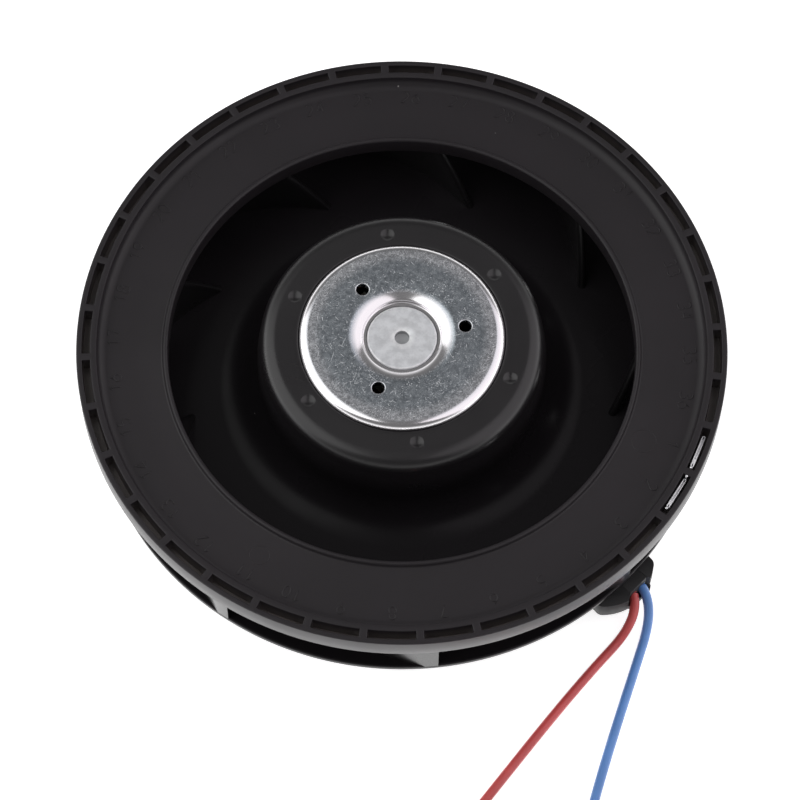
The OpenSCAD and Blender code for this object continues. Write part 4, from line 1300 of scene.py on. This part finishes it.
dish = outline(
    (RING_IN, UNDER_Z), (7.4, UNDER_Z - 0.5), (6.4, LEDGE_Z - SHEET), (5.5, LEDGE_Z - SHEET),
    (5.5, LEDGE_Z), (5.7, LEDGE_Z), arc((5.9, LEDGE_Z + 0.2), 0.2, -90, 0, 6),
    (6.12, LEDGE_Z + 0.4), arc((6.3, LEDGE_Z + 0.55), 0.14, 180, 110, 5),
    arc((RING_IN, CUP_Z - DISH_ROUND), DISH_ROUND, 117.7, 90, 20),
)
hole_half = math.degrees((RING_OUT - RING_IN) / (RING_OUT + RING_IN))
cup_lines = ring_angles(HOLE_FIRST, HOLE_COUNT, hole_half, RING_STEPS, BETWEEN_STEPS)
cup = Shell()
for part in (drum, dish):
    bend = np.maximum(
        np.interp(part[:, 0], [12.2, 13.5, CUP_R - ROLL + 0.1, CUP_R - ROLL + 0.7],
                  [0, 0.4, 0.5, 1]),
        np.interp(part[:, 0], [RING_IN - 1.5, RING_IN - 0.6], [1, 0]))
    cup.add(revolved(part, cup_lines), edge=bend[:, None])
featured_ring(cup, RING_IN, RING_OUT, CUP_Z, HOLE_FIRST, HOLE_COUNT, hole_half, RING_STEPS,
              BETWEEN_STEPS, hole)
dress(make_piece("zinc_cup", cup, sharp=50), "impeller", "zinc_plated_steel", ZINC,
      ["rotor_cup"])

# %% [markdown]
# ## The boss
# The boss is cast onto the shaft. Only its round face shows, with a rounded rim and a small
# centre hole. It is one turned section, closed at the shaft. The floor and the wall of the hole
# get an `edge` of -1, which darkens them as painted shade.

# %% Boss
FACE_R = 5.4
BOSS_FOOT_Z = 18.8
boss_section = outline(
    (0, BOSS_Z - 0.95), (0.9, BOSS_Z - 0.92), (1.08, BOSS_Z - 0.8), (1.12, BOSS_Z - 0.06),
    (1.2, BOSS_Z), (2.2, BOSS_Z), (3.6, BOSS_Z), (4.6, BOSS_Z),
    arc((FACE_R - 0.3, BOSS_Z - 0.3), 0.3, 90, 0, 7), (FACE_R, BOSS_Z - 1.4),
    (6.8, BOSS_Z - 1.4), (6.8, BOSS_Z - 2.7), (2.2, BOSS_Z - 2.7),
    (2.2, BOSS_FOOT_Z), (1.5, BOSS_FOOT_Z), (1.5, BOSS_Z - 1.0), (0, BOSS_Z - 1.0),
)
boss_edges = corners_of(boss_section)
# The centre hole's floor and wall: painted shade.
boss_edges[:4] = -1
boss = Shell().add(revolved(boss_section, np.linspace(0, 360, 121)), edge=boss_edges[:, None])
dress(make_piece("cast_boss", boss, sharp=45), "impeller", "cast_zinc", CAST, ["rotor_boss"])

# %% [markdown]
# ## Flange and lead bar
# The flange is the part that stands still. Its CAD solid has the right shape, with the bowl for
# the circuit board, four bosses and the arm that ends in the lead bar, but its edges are knife
# sharp. A copy of that solid gets its doubles merged, its flat faces joined and a small Bevel.
# The bar is the only part of it that people see from above.

# %% Softened copies of CAD solids


def softened(node, name, width, sharp=35.0):
    """A copy of a CAD node with rounded edges, `width` wide in millimetres."""
    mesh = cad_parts[node].data.copy()
    mesh.name = name
    work = bmesh.new()
    work.from_mesh(mesh)
    bmesh.ops.remove_doubles(work, verts=work.verts, dist=0.001 * MM)
    bmesh.ops.dissolve_limit(work, angle_limit=math.radians(0.6), verts=work.verts,
                             edges=work.edges)
    work.to_mesh(mesh)
    work.free()
    mesh.materials.clear()
    mesh.shade_smooth()
    piece = new_object(name, mesh)
    bevel = piece.modifiers.new("round", "BEVEL")
    bevel.width = width * MM
    bevel.segments = 2
    bevel.limit_method = "ANGLE"
    bevel.angle_limit = math.radians(sharp)
    bevel.harden_normals = True
    return piece


SOFTENED = [
    ("motor_flange", "flange", 0.3, "flange_plastic", FLANGE_BLACK),
    ("strain_relief_clip", "lead_clamp", 0.2, "flange_plastic", FLANGE_BLACK),
    ("flange_inserts", "threaded_inserts", 0.12, "brass", BRASS),
    ("bearing_tube", "bearing_sleeve", 0.12, "brass", BRASS),
    ("stator_coils", "windings", 0.5, "enamelled_copper", COPPER),
    ("driver_chip", "chip", 0.15, "component_black", CHIP_BLACK),
    ("hall_sensor", "field_sensor", 0.15, "component_black", CHIP_BLACK),
    ("drive_transistors", "transistors", 0.15, "component_black", CHIP_BLACK),
    ("filter_capacitor", "capacitor", 0.25, "capacitor_yellow", CAPACITOR_YELLOW),
    ("resistors", "resistor_chips", 0.08, "component_black", CHIP_BLACK),
    ("upper_insulator", "upper_bobbin", 0.12, "white_plastic", WHITE_NYLON),
    ("lower_insulator", "lower_bobbin", 0.12, "white_plastic", WHITE_NYLON),
]
for node, name, width, slot, material in SOFTENED:
    dress(softened(node, name, width), "motor", slot, material, [node])
print("softened copies:", len(SOFTENED))

# %% [markdown]
# ## Pieces that keep their CAD mesh
# The rest of the motor is hidden or already has the right shape: rings, balls, the shaft and the
# board. They stay as they are and only get a finish.

# %% Finishes for the other CAD nodes
FINISHES = {
    GROUND: ["shaft", "front_bearing_inner", "front_bearing_balls", "front_bearing_outer",
             "rear_bearing_inner", "rear_bearing_balls", "rear_bearing_outer", "shim_washer"],
    SPRING: ["shaft_clip", "preload_washer"],
    FERRITE: ["ring_magnet"],
    LAMINATION: ["stator_core"],
    TIN: ["coil_pins"],
    SOLDER: ["solder_joints"],
    BOARD: ["circuit_board"],
    RED_PVC: ["red_lead_inner"],
    BLUE_PVC: ["blue_lead_inner"],
}
for material, nodes in FINISHES.items():
    for node in nodes:
        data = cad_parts[node].data
        data.materials.clear()
        data.materials.append(material)
print("finished CAD nodes:", sum(len(nodes) for nodes in FINISHES.values()))

# %% [markdown]
# ## Table and light
# The blower lies on a white sweep. The table is white for the camera and in reflections, and it
# still takes the object's shadow, because its own white paint is lit by the lamps. The sky is
# white near the horizon and dark overhead. Two big soft boxes stand left and right: their
# reflections draw the bright arcs on the steel cup and the sheen on the shoulder of the hub.

# %% White table
TABLE_HALF = 3000
CAMERA_GLOW = 0.80  # added for the camera, over the paint
MIRROR_GLOW = 1.6  # added for mirrored rays


def table_paint():
    """White paint, plus a glow that only the camera and mirrored rays see."""
    material = bpy.data.materials.new("white_table")
    material.use_nodes = True
    tree = material.node_tree
    tree.nodes.clear()
    path = put(tree, "ShaderNodeLightPath").outputs
    mirrored = calc(tree, "MAXIMUM", path["Is Glossy Ray"], path["Is Transmission Ray"])
    glow = calc(tree, "MULTIPLY", path["Is Camera Ray"], CAMERA_GLOW)
    glow = calc(tree, "MULTIPLY_ADD", mirrored, MIRROR_GLOW, glow)
    paint = put(tree, "ShaderNodeBsdfDiffuse", {"Color": (0.82, 0.82, 0.82, 1)})
    shine = put(tree, "ShaderNodeEmission", {"Color": (1, 1, 1, 1), "Strength": glow})
    both = put(tree, "ShaderNodeAddShader", {0: paint.outputs[0], 1: shine.outputs[0]})
    out = put(tree, "ShaderNodeOutputMaterial")
    tree.links.new(both.outputs[0], out.inputs["Surface"])
    return material


corners = np.array([[-1, -1, 0], [1, -1, 0], [1, 1, 0], [-1, 1, 0]]) * TABLE_HALF * MM
table_mesh = bpy.data.meshes.new("table")
table_mesh.from_pydata(corners - [0, 0, 0.02 * MM], [], [(0, 1, 2, 3)])
table_mesh.materials.append(table_paint())
table = new_object("table", table_mesh)

# %% Sky
SKY_WHITE = 1.0
SKY_DARK = 0.16
world = bpy.data.worlds.new("studio")
bpy.context.scene.world = world
world.use_nodes = True
sky = world.node_tree
background = sky.nodes["Background"]
direction = put(sky, "ShaderNodeTexCoord").outputs["Generated"]
height = put(sky, "ShaderNodeSeparateXYZ", {0: direction}).outputs[2]
shade = ramp(sky, height, 0.10, 0.45, SKY_WHITE, SKY_DARK)
seen = put(sky, "ShaderNodeLightPath").outputs["Is Camera Ray"]
strength = put(sky, "ShaderNodeMix", {0: seen, 2: shade, 3: 1.0}).outputs[0]
sky.links.new(strength, background.inputs["Strength"])
background.inputs["Color"].default_value = (1, 1, 1, 1)

# %% Soft boxes


def soft_box(name, azimuth, elevation, distance, width, height, radiance, colour):
    """A rectangular lamp that looks at the blower from a direction, given in degrees and metres."""
    lamp = bpy.data.lights.new(name, "AREA")
    lamp.shape = "RECTANGLE"
    lamp.size, lamp.size_y = width, height
    lamp.energy = radiance * width * height * math.pi
    lamp.color = colour
    holder = new_object(name, lamp)
    a, e = math.radians(azimuth), math.radians(elevation)
    way = Vector((math.cos(a) * math.cos(e), math.sin(a) * math.cos(e), math.sin(e)))
    holder.location = way * distance + Vector((0, 0, 0.02))
    holder.rotation_euler = way.to_track_quat("Z", "Y").to_euler()


soft_box("left_box", 176, 42, 1.0, 1.4, 1.5, 1.20, (1.0, 1.0, 1.0))
soft_box("right_box", 0, 42, 1.0, 1.6, 1.5, 0.90, (1.0, 0.95, 0.99))

# %% [markdown]
# Last comes the colour view.

# %% Colour view
bpy.context.scene.view_settings.view_transform = "Standard"
